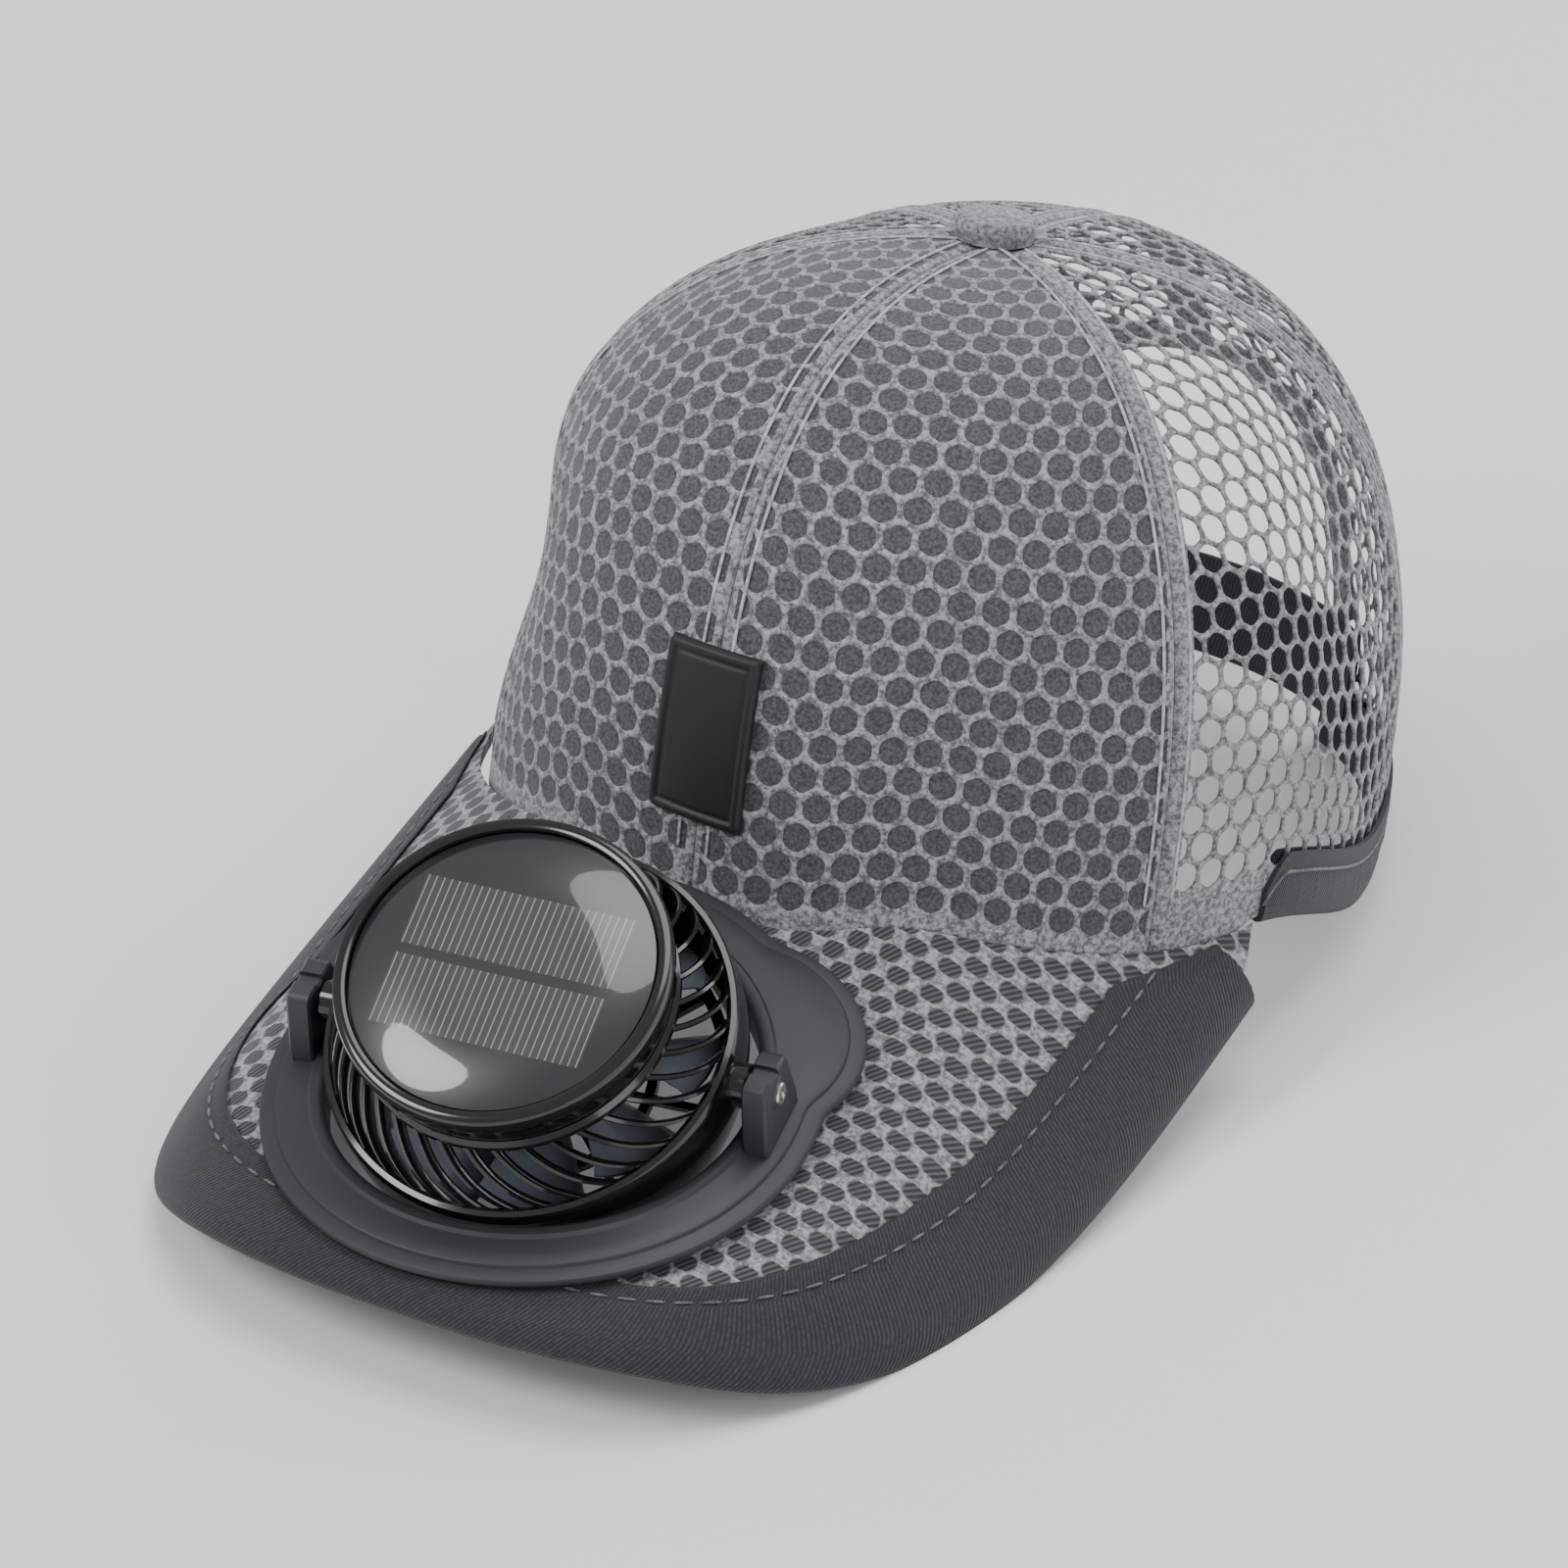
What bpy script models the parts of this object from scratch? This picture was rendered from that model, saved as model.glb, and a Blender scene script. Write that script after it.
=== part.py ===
# A six-panel cap with a solar-powered fan in its peak, standing on a surface.
# Lengths are in metres and angles in degrees. The cap is laid out in its worn
# pose (+Z up, front towards -Y, rim about level) and is then tipped and lifted
# so that it stands on the peak's front corners and on the rim at the back.
from math import asin, atan2, cos, degrees, exp, hypot, pi, radians, sin, sqrt

import bmesh
import bpy
from mathutils import Matrix, Vector
from mathutils.bvhtree import BVHTree

GAP = 0.0003                    # clearance between pieces that touch

# Crown: head size and height
CROWN_HALF_WIDTH = 0.0818
CROWN_FRONT_REACH = 0.0865
CROWN_BACK_REACH = 0.1034
CROWN_HEIGHT = 0.111
CROWN_TOP_SHIFT = 0.0045        # the button sits this far behind the middle
BASE_POWER = 1.98               # 2 is an ellipse seen from above
FRONT_PANEL_WALL = 0.0016
NET_WALL = 0.0012
SIDE_SEAM_ANGLE = 59.0          # from the front, either way
REAR_SEAM_ANGLE = 125.5
RIM_CORNER_ANGLE = 76.0         # where the peak meets the rim
TOP_HOLE_RADIUS = 0.0038

# Meridian shape: rows for the front, the sides and the back
MERIDIANS = [
    # width_power, height_power, bulge (share of the reach)
    dict(width_power=0.65, height_power=0.77, bulge=0.03),
    dict(width_power=0.87, height_power=0.85, bulge=0.07),
    dict(width_power=0.67, height_power=0.94, bulge=0.08),
]
# Height of the rim behind the peak, as shares of the crown's height
RIM_HEIGHTS = [
    dict(angle=110.0, share=-0.029),
    dict(angle=145.0, share=0.022),
    dict(angle=180.0, share=0.020),
]
# Where the cloth is pushed in: angle from the front, height angle, and depth
DENTS = [
    dict(angle=-70.0, spread=35.0, rise=18.0, rise_spread=14.0, depth_share=0.12),
    dict(angle=100.0, spread=16.0, rise=28.0, rise_spread=12.0, depth_share=0.02),
]

# Net: cells cut through the side and back panels
SIDE_NET_COLUMNS = 5
BACK_NET_COLUMNS = 4
NET_ROWS = 5
NET_FOOT_SHARE = 0.08           # the net's cells start at this share of a panel
NET_TOP_SHARE = 0.80            # and stop at this one
CELL_SHARE = 0.36               # half a cell's opening, as a share of its place

# Arched opening and strap at the back
ARCH_HALF_WIDTH = 0.040
ARCH_HEIGHT = 0.068
ARCH_POWER = 2.4                # squareness of its outline
STRAP_WIDTH = 0.020
STRAP_THICKNESS = 0.0016
STRAP_OVERLAP = 0.012
STRAP_RISE = 0.005              # the strap's lower edge above the rim

# Button and patch
BUTTON_RADIUS = 0.0078
BUTTON_HEIGHT = 0.0048
BUTTON_STEM_RADIUS = 0.0030
PATCH_WIDTH = 0.0200
PATCH_HEIGHT = 0.0370
PATCH_FOOT_RISE = 11.0          # height angle of the patch's lower edge
PATCH_THICKNESS = 0.0016

# Peak
PEAK_DROOP = 26.0
PEAK_ARCH_RADIUS = 0.108
PEAK_ROOT_HEIGHT = 0.0118
PEAK_LENGTH = 0.1036
PEAK_HALF_WIDTH = 0.094         # measured along the arch
PEAK_SIDE_RETURN = 0.0475       # how far its sides run back past its root
PEAK_SIDE_POWER = 2.67
PEAK_FRONT_POWER = 3.53
PEAK_THICKNESS = 0.0032
PEAK_EDGE_POINTS = 41
EDGE_SAMPLES = 2000
ROOT_ROOM = 0.0002              # the crown swells a little above its foot
BINDING_THICKNESS = 0.0009
BINDING_WIDTH = 0.0130
BINDING_UNDER_WIDTH = 0.0100
RIM_BINDING_HEIGHT = 0.0120

# Fan plate
PLATE_ALONG = 0.0522            # from the peak's root to the plate's middle
PLATE_RADIUS = 0.0500
PLATE_THICKNESS = 0.0024
PLATE_ARCH_RADIUS = 0.250
PLATE_SINK = 0.0005             # its top below the peak's crest
PLATE_LIP_WIDTH = 0.0030
PLATE_LIP_STEP = 0.0008
PLATE_YAW = 9.0
PLATE_ROLL = 2.5
LOBE_RADIUS = 0.0230
LOBE_OUT = 0.0290
LOBE_BACK = 0.0180
COLLAR_WALL = 0.0016
COLLAR_DEPTH = 0.0085
PLATE_REST_ZONE = 0.0510        # the peak lies parallel to the plate this far out
PLATE_BLEND_ZONE = 0.0240

# Fan: a ball-shaped housing that tilts about the two pivots
HOUSING_RADIUS = 0.0370
HOUSING_CLEARANCE = 0.0010      # to the plate's hole
PLATE_HOLE_RADIUS = HOUSING_RADIUS + HOUSING_CLEARANCE
PIVOT_HEIGHT = 0.0050
FAN_TILT = 16.5                 # forward of the plate's own axis
LUG_THICKNESS = 0.0046
LUG_BASE_WIDTH = 0.0150
LUG_TOP_WIDTH = 0.0100
LUG_ABOVE_PIVOT = 0.0048
BOSS_RADIUS = 0.0040
SCREW_RADIUS = 0.0012
SCREW_HEAD_RADIUS = 0.0021
SCREW_HEAD_HEIGHT = 0.0008
RIB_COUNT = 36
RIB_SHARE = 0.42                # of a rib's pitch
RIB_SWIRL = 16.0                # degrees from a rib's foot to its top
HEAD_RADIUS = 0.0298
HEAD_WALL_RADIUS = 0.0284
HEAD_TOP = 0.0272               # above the pivots, along the fan's axis
HEAD_LIP = 0.0034
HEAD_FOOT = 0.0182
HOUSING_FOOT = 0.0150           # below the pivots
HOUSING_WALL = 0.0018
PANEL_RADIUS = 0.0270
PANEL_THICKNESS = 0.0010
PANEL_RECESS = 0.0008
MOTOR_RADIUS = 0.0120
MOTOR_FOOT = 0.0075
SHAFT_RADIUS = 0.0012
HUB_RADIUS = 0.0110
HUB_TOP = 0.0068
HUB_FOOT = -0.0060
BLADE_COUNT = 9
BLADE_RADIUS = 0.0318
BLADE_THICKNESS = 0.0011
BLADE_TOP = 0.0030
BLADE_FOOT = -0.0075
BLADE_SPAN = 33.0               # degrees from its leading to its trailing edge
GUARD_THICKNESS = 0.0016
GUARD_BARS = 8

MATERIALS = {
    # colour, roughness, metallic
    "front_cloth": ((0.098, 0.098, 0.105), 0.9, 0.0),
    "net_cloth": ((0.145, 0.145, 0.152), 0.9, 0.0),
    "peak_cloth": ((0.115, 0.115, 0.125), 0.9, 0.0),
    "dark_tape": ((0.031, 0.036, 0.041), 0.85, 0.0),
    "dark_patch": ((0.014, 0.014, 0.015), 0.6, 0.0),
    "matte_plastic": ((0.032, 0.033, 0.038), 0.55, 0.0),
    "gloss_plastic": ((0.012, 0.012, 0.014), 0.2, 0.0),
    "blade_plastic": ((0.22, 0.23, 0.26), 0.35, 0.0),
    "solar_cells": ((0.030, 0.032, 0.038), 0.25, 0.0),
    "screw_steel": ((0.60, 0.60, 0.58), 0.3, 1.0),
}


def clamp(value, low=0.0, high=1.0):
    return max(low, min(high, value))


def smooth(value):
    value = clamp(value)
    return value * value * (3 - 2 * value)


def mix(a, b, share):
    return a + (b - a) * share


def make_material(name):
    colour, roughness, metallic = MATERIALS[name]
    material = bpy.data.materials.new(name)
    material.use_nodes = True
    shader = material.node_tree.nodes["Principled BSDF"]
    shader.inputs["Base Color"].default_value = (*colour, 1.0)
    shader.inputs["Roughness"].default_value = roughness
    shader.inputs["Metallic"].default_value = metallic
    return material


def make_object(name, points, faces, material, place=Matrix(), origin=None):
    """Build one closed piece; origin is a point of its own frame."""
    mesh = bpy.data.meshes.new(name)
    start = place @ origin if origin is not None else Vector((0, 0, 0))
    mesh.from_pydata([tuple(place @ Vector(p) - start) for p in points], [], faces)
    work = bmesh.new()
    work.from_mesh(mesh)
    bmesh.ops.triangulate(work, faces=work.faces)
    bmesh.ops.recalc_face_normals(work, faces=work.faces)
    if work.calc_volume(signed=True) < 0:
        bmesh.ops.reverse_faces(work, faces=work.faces)
    work.to_mesh(mesh)
    work.free()
    mesh.materials.append(make_material(material))
    piece = bpy.data.objects.new(name, mesh)
    piece.location = start
    bpy.context.scene.collection.objects.link(piece)
    return piece


def combine(target, tool, operation):
    """Union or cut one solid with another, then drop the tool."""
    modifier = target.modifiers.new(operation, "BOOLEAN")
    modifier.operation = operation
    modifier.solver = "EXACT"
    modifier.object = tool
    bpy.context.view_layer.update()
    graph = bpy.context.evaluated_depsgraph_get()
    mesh = bpy.data.meshes.new_from_object(target.evaluated_get(graph))
    target.modifiers.remove(modifier)
    old = target.data
    target.data = mesh
    bpy.data.meshes.remove(old)
    bpy.data.objects.remove(tool)
    work = bmesh.new()
    work.from_mesh(mesh)
    bmesh.ops.remove_doubles(work, verts=work.verts, dist=0.000002)
    bmesh.ops.dissolve_degenerate(work, edges=work.edges, dist=0.000002)
    bmesh.ops.triangulate(work, faces=work.faces)
    work.to_mesh(mesh)
    work.free()


def loft(sections, ring=False):
    """Skin a row of closed sections with equal point counts."""
    count = len(sections[0])
    points = [p for section in sections for p in section]
    faces = []
    rows = len(sections)
    for row in range(rows if ring else rows - 1):
        after = (row + 1) % rows
        for k in range(count):
            m = (k + 1) % count
            faces.append((row * count + k, row * count + m, after * count + m, after * count + k))
    if not ring:
        faces.append(tuple(range(count)))
        faces.append(tuple((rows - 1) * count + k for k in range(count)))
    return points, faces


def turned(profile, columns):
    """Revolve a closed (radius, height) profile that stays off the axis."""
    sections = []
    for k in range(columns):
        angle = 2 * pi * k / columns
        sections.append([(r * cos(angle), r * sin(angle), z) for r, z in profile])
    return loft(sections, ring=True)


def turned_solid(profile, columns):
    """Revolve an open profile whose two ends lie on the axis."""
    inner = profile[1:-1]
    points = [(0, 0, profile[0][1]), (0, 0, profile[-1][1])]
    for k in range(columns):
        angle = 2 * pi * k / columns
        points += [(r * cos(angle), r * sin(angle), z) for r, z in inner]
    size = len(inner)
    faces = []
    for k in range(columns):
        a, b = 2 + k * size, 2 + (k + 1) % columns * size
        faces.append((0, a, b))
        faces.append((1, a + size - 1, b + size - 1))
        for j in range(size - 1):
            faces.append((a + j, a + j + 1, b + j + 1, b + j))
    return points, faces


# The peak's surface: x across, along from the root to the front edge

def arch_height(x):
    x = clamp(abs(x), 0, PEAK_ARCH_RADIUS * 0.985)
    return sqrt(PEAK_ARCH_RADIUS ** 2 - x * x) - PEAK_ARCH_RADIUS


def plate_height(x):
    return -x * x / (2 * PLATE_ARCH_RADIUS)


def plate_share(x, along):
    away = hypot(x, along - PLATE_ALONG)
    return 1 - smooth((away - PLATE_REST_ZONE) / PLATE_BLEND_ZONE)


def peak_height(x, along):
    yaw = radians(PLATE_YAW)
    across = x * cos(yaw) + (PLATE_ALONG - along) * sin(yaw)
    under = plate_height(across) - PLATE_SINK - PLATE_THICKNESS - BINDING_THICKNESS - 4.5 * GAP
    roll = -x * sin(radians(PLATE_ROLL))
    return mix(arch_height(x), under + roll, plate_share(x, along))


def peak_frame(x, along, height):
    droop = radians(PEAK_DROOP)
    y = -CROWN_FRONT_REACH - along * cos(droop) - height * sin(droop)
    return Vector((x, y, PEAK_ROOT_HEIGHT - along * sin(droop) + height * cos(droop)))


def peak_top(x, along, lift=0.0):
    return peak_frame(x, along, peak_height(x, along)) + Vector((0, 0, lift))


def peak_along(x, y):
    """The share of the peak's length over a point seen from above."""
    droop = radians(PEAK_DROOP)
    along = 0.0
    for _ in range(12):
        along = -(y + CROWN_FRONT_REACH + peak_height(x, along) * sin(droop)) / cos(droop)
    return along


# The crown's surface: angle from the front, rise from the rim to the top

def base_reach(angle):
    reach = CROWN_FRONT_REACH if cos(angle) > 0 else CROWN_BACK_REACH
    side = (abs(sin(angle)) / CROWN_HALF_WIDTH) ** BASE_POWER
    ahead = (abs(cos(angle)) / reach) ** BASE_POWER
    return (side + ahead) ** (-1 / BASE_POWER)


def base_point(angle, out=0.0):
    reach = base_reach(angle) + out
    return reach * sin(angle), -reach * cos(angle)


def peak_rim_height(angle):
    x, y = base_point(angle)
    return peak_top(x, peak_along(x, y)).z


def rim_height(angle):
    away = degrees(abs((angle + pi) % (2 * pi) - pi))
    if away <= RIM_CORNER_ANGLE:
        return peak_rim_height(angle)
    rows = [dict(angle=RIM_CORNER_ANGLE, height=peak_rim_height(radians(RIM_CORNER_ANGLE)))]
    rows += [dict(angle=row["angle"], height=row["share"] * CROWN_HEIGHT) for row in RIM_HEIGHTS]
    for low, high in zip(rows, rows[1:]):
        if away <= high["angle"]:
            share = (away - low["angle"]) / (high["angle"] - low["angle"])
            return mix(low["height"], high["height"], smooth(share))
    return rows[-1]["height"]


RIM_CACHE = {}


def crown_outer(angle, rise, out=0.0):
    key = round(angle, 6)
    if key not in RIM_CACHE:
        RIM_CACHE[key] = rim_height(angle)
    low = RIM_CACHE[key]
    x, y = base_point(angle)
    front, back = clamp(cos(angle)) ** 2, clamp(-cos(angle)) ** 2
    shape = {}
    for name in ("width_power", "bulge"):
        side = MERIDIANS[1][name]
        shape[name] = side + (MERIDIANS[0][name] - side) * front + (MERIDIANS[2][name] - side) * back
    height_power = mix(MERIDIANS[0]["height_power"], MERIDIANS[2]["height_power"], (1 - cos(angle)) / 2)
    wide = max(cos(rise), 1e-9) ** shape["width_power"] + shape["bulge"] * sin(2 * rise)
    tall = max(sin(rise), 1e-9) ** height_power
    px = x * wide
    for dent in DENTS:
        off = (degrees(angle) - dent["angle"]) / dent["spread"]
        up = (degrees(rise) - dent["rise"]) / dent["rise_spread"]
        side = 1 if dent["angle"] < 0 else -1
        px += side * dent["depth_share"] * CROWN_HALF_WIDTH * exp(-off * off - up * up)
    py = y * wide + CROWN_TOP_SHIFT * (1 - wide)
    point = Vector((px, py, low + (CROWN_HEIGHT - low) * tall))
    if out:
        point += crown_normal(angle, rise) * out
    return point


def crown_normal(angle, rise):
    step = 0.01
    low, high = max(rise - step, 0.0005), min(rise + step, pi / 2 - 0.002)
    across = crown_outer(angle + step, rise) - crown_outer(angle - step, rise)
    up = crown_outer(angle, high) - crown_outer(angle, low)
    return across.cross(up).normalized()


def top_rise(angle):
    """The rise at which the crown leaves the hole under its button."""
    low, high = 0.5, pi / 2
    for _ in range(40):
        middle = (low + high) / 2
        point = crown_outer(angle, middle)
        if hypot(point.x, point.y - CROWN_TOP_SHIFT) > TOP_HOLE_RADIUS:
            low = middle
        else:
            high = middle
    return low


def wall_drop(angle):
    """In front the crown runs down beside the peak's edge."""
    away = degrees(abs((angle + pi) % (2 * pi) - pi))
    return PEAK_THICKNESS * (1 - smooth((away - RIM_CORNER_ANGLE + 8) / 8))


def seam_shift(angle, rise):
    """Half the gap at a seam, as an angle about the crown's middle."""
    point = crown_outer(angle, rise)
    reach = max(hypot(point.x, point.y - CROWN_TOP_SHIFT), TOP_HOLE_RADIUS)
    return GAP * 0.62 / reach


def panel(name, start, end, columns, rises, wall, material, net_columns=0, place=Matrix()):
    """A crown panel between two seams; net cells are cut through it."""
    a, b = radians(start), radians(end)
    points, index = [], {}

    def vertex(s, t, depth):
        key = (round(s, 5), round(t, 5), depth)
        if key not in index:
            middle = mix(a, b, s)
            rise = top_rise(middle) * t
            gap_a, gap_b = seam_shift(a, rise), seam_shift(b, rise)
            angle = mix(a + gap_a, b - gap_b, s)
            rise = top_rise(angle) * t
            point = crown_outer(angle, rise)
            if t == 0:
                point.z -= wall_drop(angle)
            if depth:
                point = point - crown_normal(angle, max(rise, 0.03)) * wall
            index[key] = len(points)
            points.append(point)
        return index[key]

    faces, edge_use = [], {}

    def face(corners):
        """corners are (s, t) pairs; both skins get the face."""
        faces.append(tuple(vertex(s, t, 0) for s, t in corners))
        faces.append(tuple(vertex(s, t, 1) for s, t in reversed(corners)))
        for p, q in zip(corners, corners[1:] + corners[:1]):
            key = frozenset(((round(p[0], 5), round(p[1], 5)), (round(q[0], 5), round(q[1], 5))))
            edge_use.setdefault(key, []).append((p, q))

    for i in range(columns):
        for j in range(len(rises) - 1):
            s0, s1 = i / columns, (i + 1) / columns
            t0, t1 = rises[j], rises[j + 1]
            if net_columns and cell_open(mix(a, b, (s0 + s1) / 2), t0, t1):
                sm, tm = (s0 + s1) / 2, (t0 + t1) / 2
                w, h = (s1 - s0) * CELL_SHARE, (t1 - t0) * CELL_SHARE
                foot, top = (sm, tm - h), (sm, tm + h)
                left_low, left_high = (sm - w, tm - h / 2), (sm - w, tm + h / 2)
                right_low, right_high = (sm + w, tm - h / 2), (sm + w, tm + h / 2)
                A, B, C, D = (s0, t0), (s1, t0), (s1, t1), (s0, t1)
                for triangle in ((A, B, foot), (A, foot, left_low), (B, right_low, foot),
                                 (A, left_low, left_high), (A, left_high, D), (D, left_high, top),
                                 (D, top, C), (C, top, right_high), (C, right_high, right_low),
                                 (C, right_low, B)):
                    face(list(triangle))
            else:
                face([(s0, t0), (s1, t0), (s1, t1), (s0, t1)])
    for uses in edge_use.values():
        if len(uses) == 1:
            p, q = uses[0]
            faces.append((vertex(*q, 0), vertex(*p, 0), vertex(*p, 1), vertex(*q, 1)))
    return make_object(name, points, faces, material, place)


def net_rows():
    """Shares of a panel's rise at which its rows of cells start."""
    step = (NET_TOP_SHARE - NET_FOOT_SHARE) / NET_ROWS
    return [0.0] + [NET_FOOT_SHARE + step * k for k in range(NET_ROWS + 1)] + [0.90, 1.0]


def cell_open(angle, low, high):
    """Whether a net cell is cut through: none near the top or the back opening."""
    if low < NET_FOOT_SHARE - 0.001 or high > NET_TOP_SHARE + 0.001:
        return False
    rise = top_rise(angle) * (low + high) / 2
    point = crown_outer(angle, rise)
    height = point.z - rim_height(pi)
    near = abs(point.x) < ARCH_HALF_WIDTH + 0.016 and height < ARCH_HEIGHT + 0.020
    return not (near and point.y > 0)


def arch_cutter(place):
    """A prism along Y with the back opening's outline."""
    floor = rim_height(pi) - RIM_BINDING_HEIGHT
    outline = []
    steps = 16
    for k in range(steps + 1):
        turn = pi * k / steps
        x = ARCH_HALF_WIDTH * cos(turn)
        z = arch_edge_height(x)
        outline.append((x, z))
    outline = [(ARCH_HALF_WIDTH, floor)] + outline + [(-ARCH_HALF_WIDTH, floor)]
    sections = [[(x, y, z) for x, z in outline] for y in (CROWN_BACK_REACH * 0.3, CROWN_BACK_REACH * 1.3)]
    points, faces = loft(sections)
    cutter = make_object("arch_cutter", points, faces, "dark_tape", place)
    cutter.hide_render = True
    cutter.display_type = "WIRE"
    return cutter


def arch_edge_height(x):
    share = clamp(abs(x) / ARCH_HALF_WIDTH, 0, 1)
    return rim_height(pi) + ARCH_HEIGHT * (1 - share ** ARCH_POWER) ** (1 / ARCH_POWER)


def back_surface():
    """A finder for the crown's back, over an (x, height) point."""
    half = column_angles()
    angles = [radians(a) for a in half] + [radians(360 - a) for a in reversed(half[:-1])]
    rises = net_rows()[:-1]
    points = [crown_outer(a, top_rise(a) * r) for a in angles for r in rises]
    size = len(rises)
    quads = [(i * size + j, i * size + j + 1, (i + 1) * size + j + 1, (i + 1) * size + j)
             for i in range(len(angles) - 1) for j in range(size - 1)]
    tree = BVHTree.FromPolygons(points, quads)

    def find(x, z):
        point, normal, _, _ = tree.ray_cast(Vector((x, CROWN_BACK_REACH * 2, z)), Vector((0, -1, 0)))
        if point is None:
            point, normal, _, _ = tree.find_nearest(Vector((x, CROWN_BACK_REACH, z)))
        return point, normal if normal.y > 0 else -normal
    return find


def peak_edge(count):
    """The peak's front edge as evenly spaced (x, along) pairs, from the wearer's right."""
    fine = []
    reach = PEAK_LENGTH + PEAK_SIDE_RETURN
    for k in range(EDGE_SAMPLES + 1):
        turn = pi * (k / EDGE_SAMPLES - 0.5)
        arc = PEAK_HALF_WIDTH * abs(sin(turn)) ** (2 / PEAK_SIDE_POWER)
        x = PEAK_ARCH_RADIUS * sin(arc / PEAK_ARCH_RADIUS) * (1 if turn > 0 else -1)
        fine.append((x, -PEAK_SIDE_RETURN + reach * max(cos(turn), 0) ** (2 / PEAK_FRONT_POWER)))
    lengths = [0.0]
    for (x0, a0), (x1, a1) in zip(fine, fine[1:]):
        lengths.append(lengths[-1] + hypot(x1 - x0, a1 - a0))
    rows, k = [], 0
    for step in range(count):
        mark = lengths[-1] * step / (count - 1)
        while k < EDGE_SAMPLES - 1 and lengths[k + 1] < mark:
            k += 1
        share = clamp((mark - lengths[k]) / (lengths[k + 1] - lengths[k]))
        rows.append((mix(fine[k][0], fine[k + 1][0], share), mix(fine[k][1], fine[k + 1][1], share)))
    return rows


def root_edge(count, out):
    """The peak's inner edge along the crown, from the wearer's left."""
    rows = []
    for k in range(count):
        angle = radians(RIM_CORNER_ANGLE) * (1 - 2 * k / (count - 1))
        x, y = base_point(angle, out)
        rows.append((x, peak_along(x, y)))
    return rows


def peak_hole_radius():
    """Room for the plate's collar, which leans by the plate's roll."""
    return PLATE_HOLE_RADIUS + COLLAR_WALL + GAP + COLLAR_DEPTH * sin(radians(abs(PLATE_ROLL)))


def beside_crown(x, along, room):
    """Move a point of the peak out of the crown's foot."""
    point = peak_top(x, along)
    angle = atan2(point.x, -point.y)
    least = base_reach(angle) + GAP + ROOT_ROOM + room
    if hypot(point.x, point.y) >= least:
        return x, along
    x, y = least * sin(angle), -least * cos(angle)
    return x, peak_along(x, y)


def make_peak(place):
    edge = peak_edge(PEAK_EDGE_POINTS)
    root = root_edge(23, GAP + ROOT_ROOM)
    border = edge + root
    rings = [0.0, 0.22, 0.48, 0.76, 1.0]
    hole = peak_hole_radius()
    droop = radians(PEAK_DROOP)
    crest = Vector((0, sin(droop), -cos(droop)))
    sections = []
    for x, along in border:
        away = hypot(x, along - PLATE_ALONG)
        start = (x / away * hole, PLATE_ALONG + (along - PLATE_ALONG) / away * hole)
        top, under = [], []
        for share in rings:
            px, pa = mix(start[0], x, share), mix(start[1], along, share)
            if 0 < share < 1:
                px, pa = beside_crown(px, pa, (1 - share) * PEAK_THICKNESS)
            point = peak_top(px, pa)
            near = hypot(px, pa - PLATE_ALONG)
            lean = 1 - smooth((near - hole - 0.001) / 0.006)
            top.append(point)
            under.append(point + Vector((0, 0, -1)).lerp(crest, lean).normalized() * PEAK_THICKNESS)
        sections.append(top + under[::-1])
    points, faces = loft(sections, ring=True)
    make_object("peak", points, faces, "peak_cloth", place)
    triangles = [f for a, b, c, d in faces for f in ((a, b, c), (a, c, d))]
    return BVHTree.FromPolygons(points, triangles)


def make_peak_binding(place, peak_faces):
    """Tape folded over the peak's edge, narrowing beside the crown."""
    edge = peak_edge(PEAK_EDGE_POINTS)[1:-1]
    up = Vector((0, 0, 1))
    root = [base_point(radians(RIM_CORNER_ANGLE) * (1 - 2 * k / 60), 0.0) for k in range(61)]
    under = PEAK_THICKNESS
    tape = BINDING_THICKNESS
    sections = []
    for k, (x, along) in enumerate(edge):
        before, after = edge[max(k - 1, 0)], edge[min(k + 1, len(edge) - 1)]
        run = Vector((after[0] - before[0], after[1] - before[1])).normalized()
        inward = Vector((run.y, -run.x))
        if inward.dot(Vector((-x, PLATE_ALONG - along))) < 0:
            inward = -inward
        here = peak_top(x, along)
        room = min(hypot(here.x - rx, here.y - ry) for rx, ry in root) - 0.0012
        if room < 0.003:
            continue
        room = min(room, hypot(x, along - PLATE_ALONG) - peak_hole_radius() - 4 * GAP)
        wide = min(BINDING_WIDTH, room)
        narrow = min(BINDING_UNDER_WIDTH, room)

        def spot(inset, lift):
            """A place over the peak's flat-sided top, or under its underside."""
            inside = max(inset, 0.0006)
            start = peak_top(x + inward.x * inside, along + inward.y * inside)
            side = up if lift > -under / 2 else -up
            hit = peak_faces.ray_cast(start + side * under * 3, -side)[0]
            shift = peak_top(x + inward.x * inset, along + inward.y * inset) - start
            clear = lift if lift > -under / 2 else lift + under
            return (hit or start) + shift * (inset < inside) + up * clear
        g = 2 * GAP             # the tape bridges the flat sides
        section = [spot(wide, g), spot(wide, g + tape), spot(wide / 2, g + tape), spot(0, g + tape),
                   spot(-g - tape, -0.2 * under), spot(-g - tape, -0.8 * under),
                   spot(0, -under - g - tape), spot(narrow / 2, -under - g - tape),
                   spot(narrow, -under - g - tape), spot(narrow, -under - g),
                   spot(narrow / 2, -under - g), spot(-g, -under - g), spot(-g, g),
                   spot(wide / 2, g)]
        sections.append(section)
    points, faces = loft(sections)
    return make_object("peak_binding", points, faces, "dark_tape", place)


def column_angles():
    """The angles of the panels' columns from a side seam to the back seam."""
    side, rear = SIDE_SEAM_ANGLE, REAR_SEAM_ANGLE
    angles = [mix(side, rear, k / SIDE_NET_COLUMNS) for k in range(SIDE_NET_COLUMNS)]
    return angles + [mix(rear, 180.0, k / BACK_NET_COLUMNS) for k in range(BACK_NET_COLUMNS + 1)]


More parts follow.
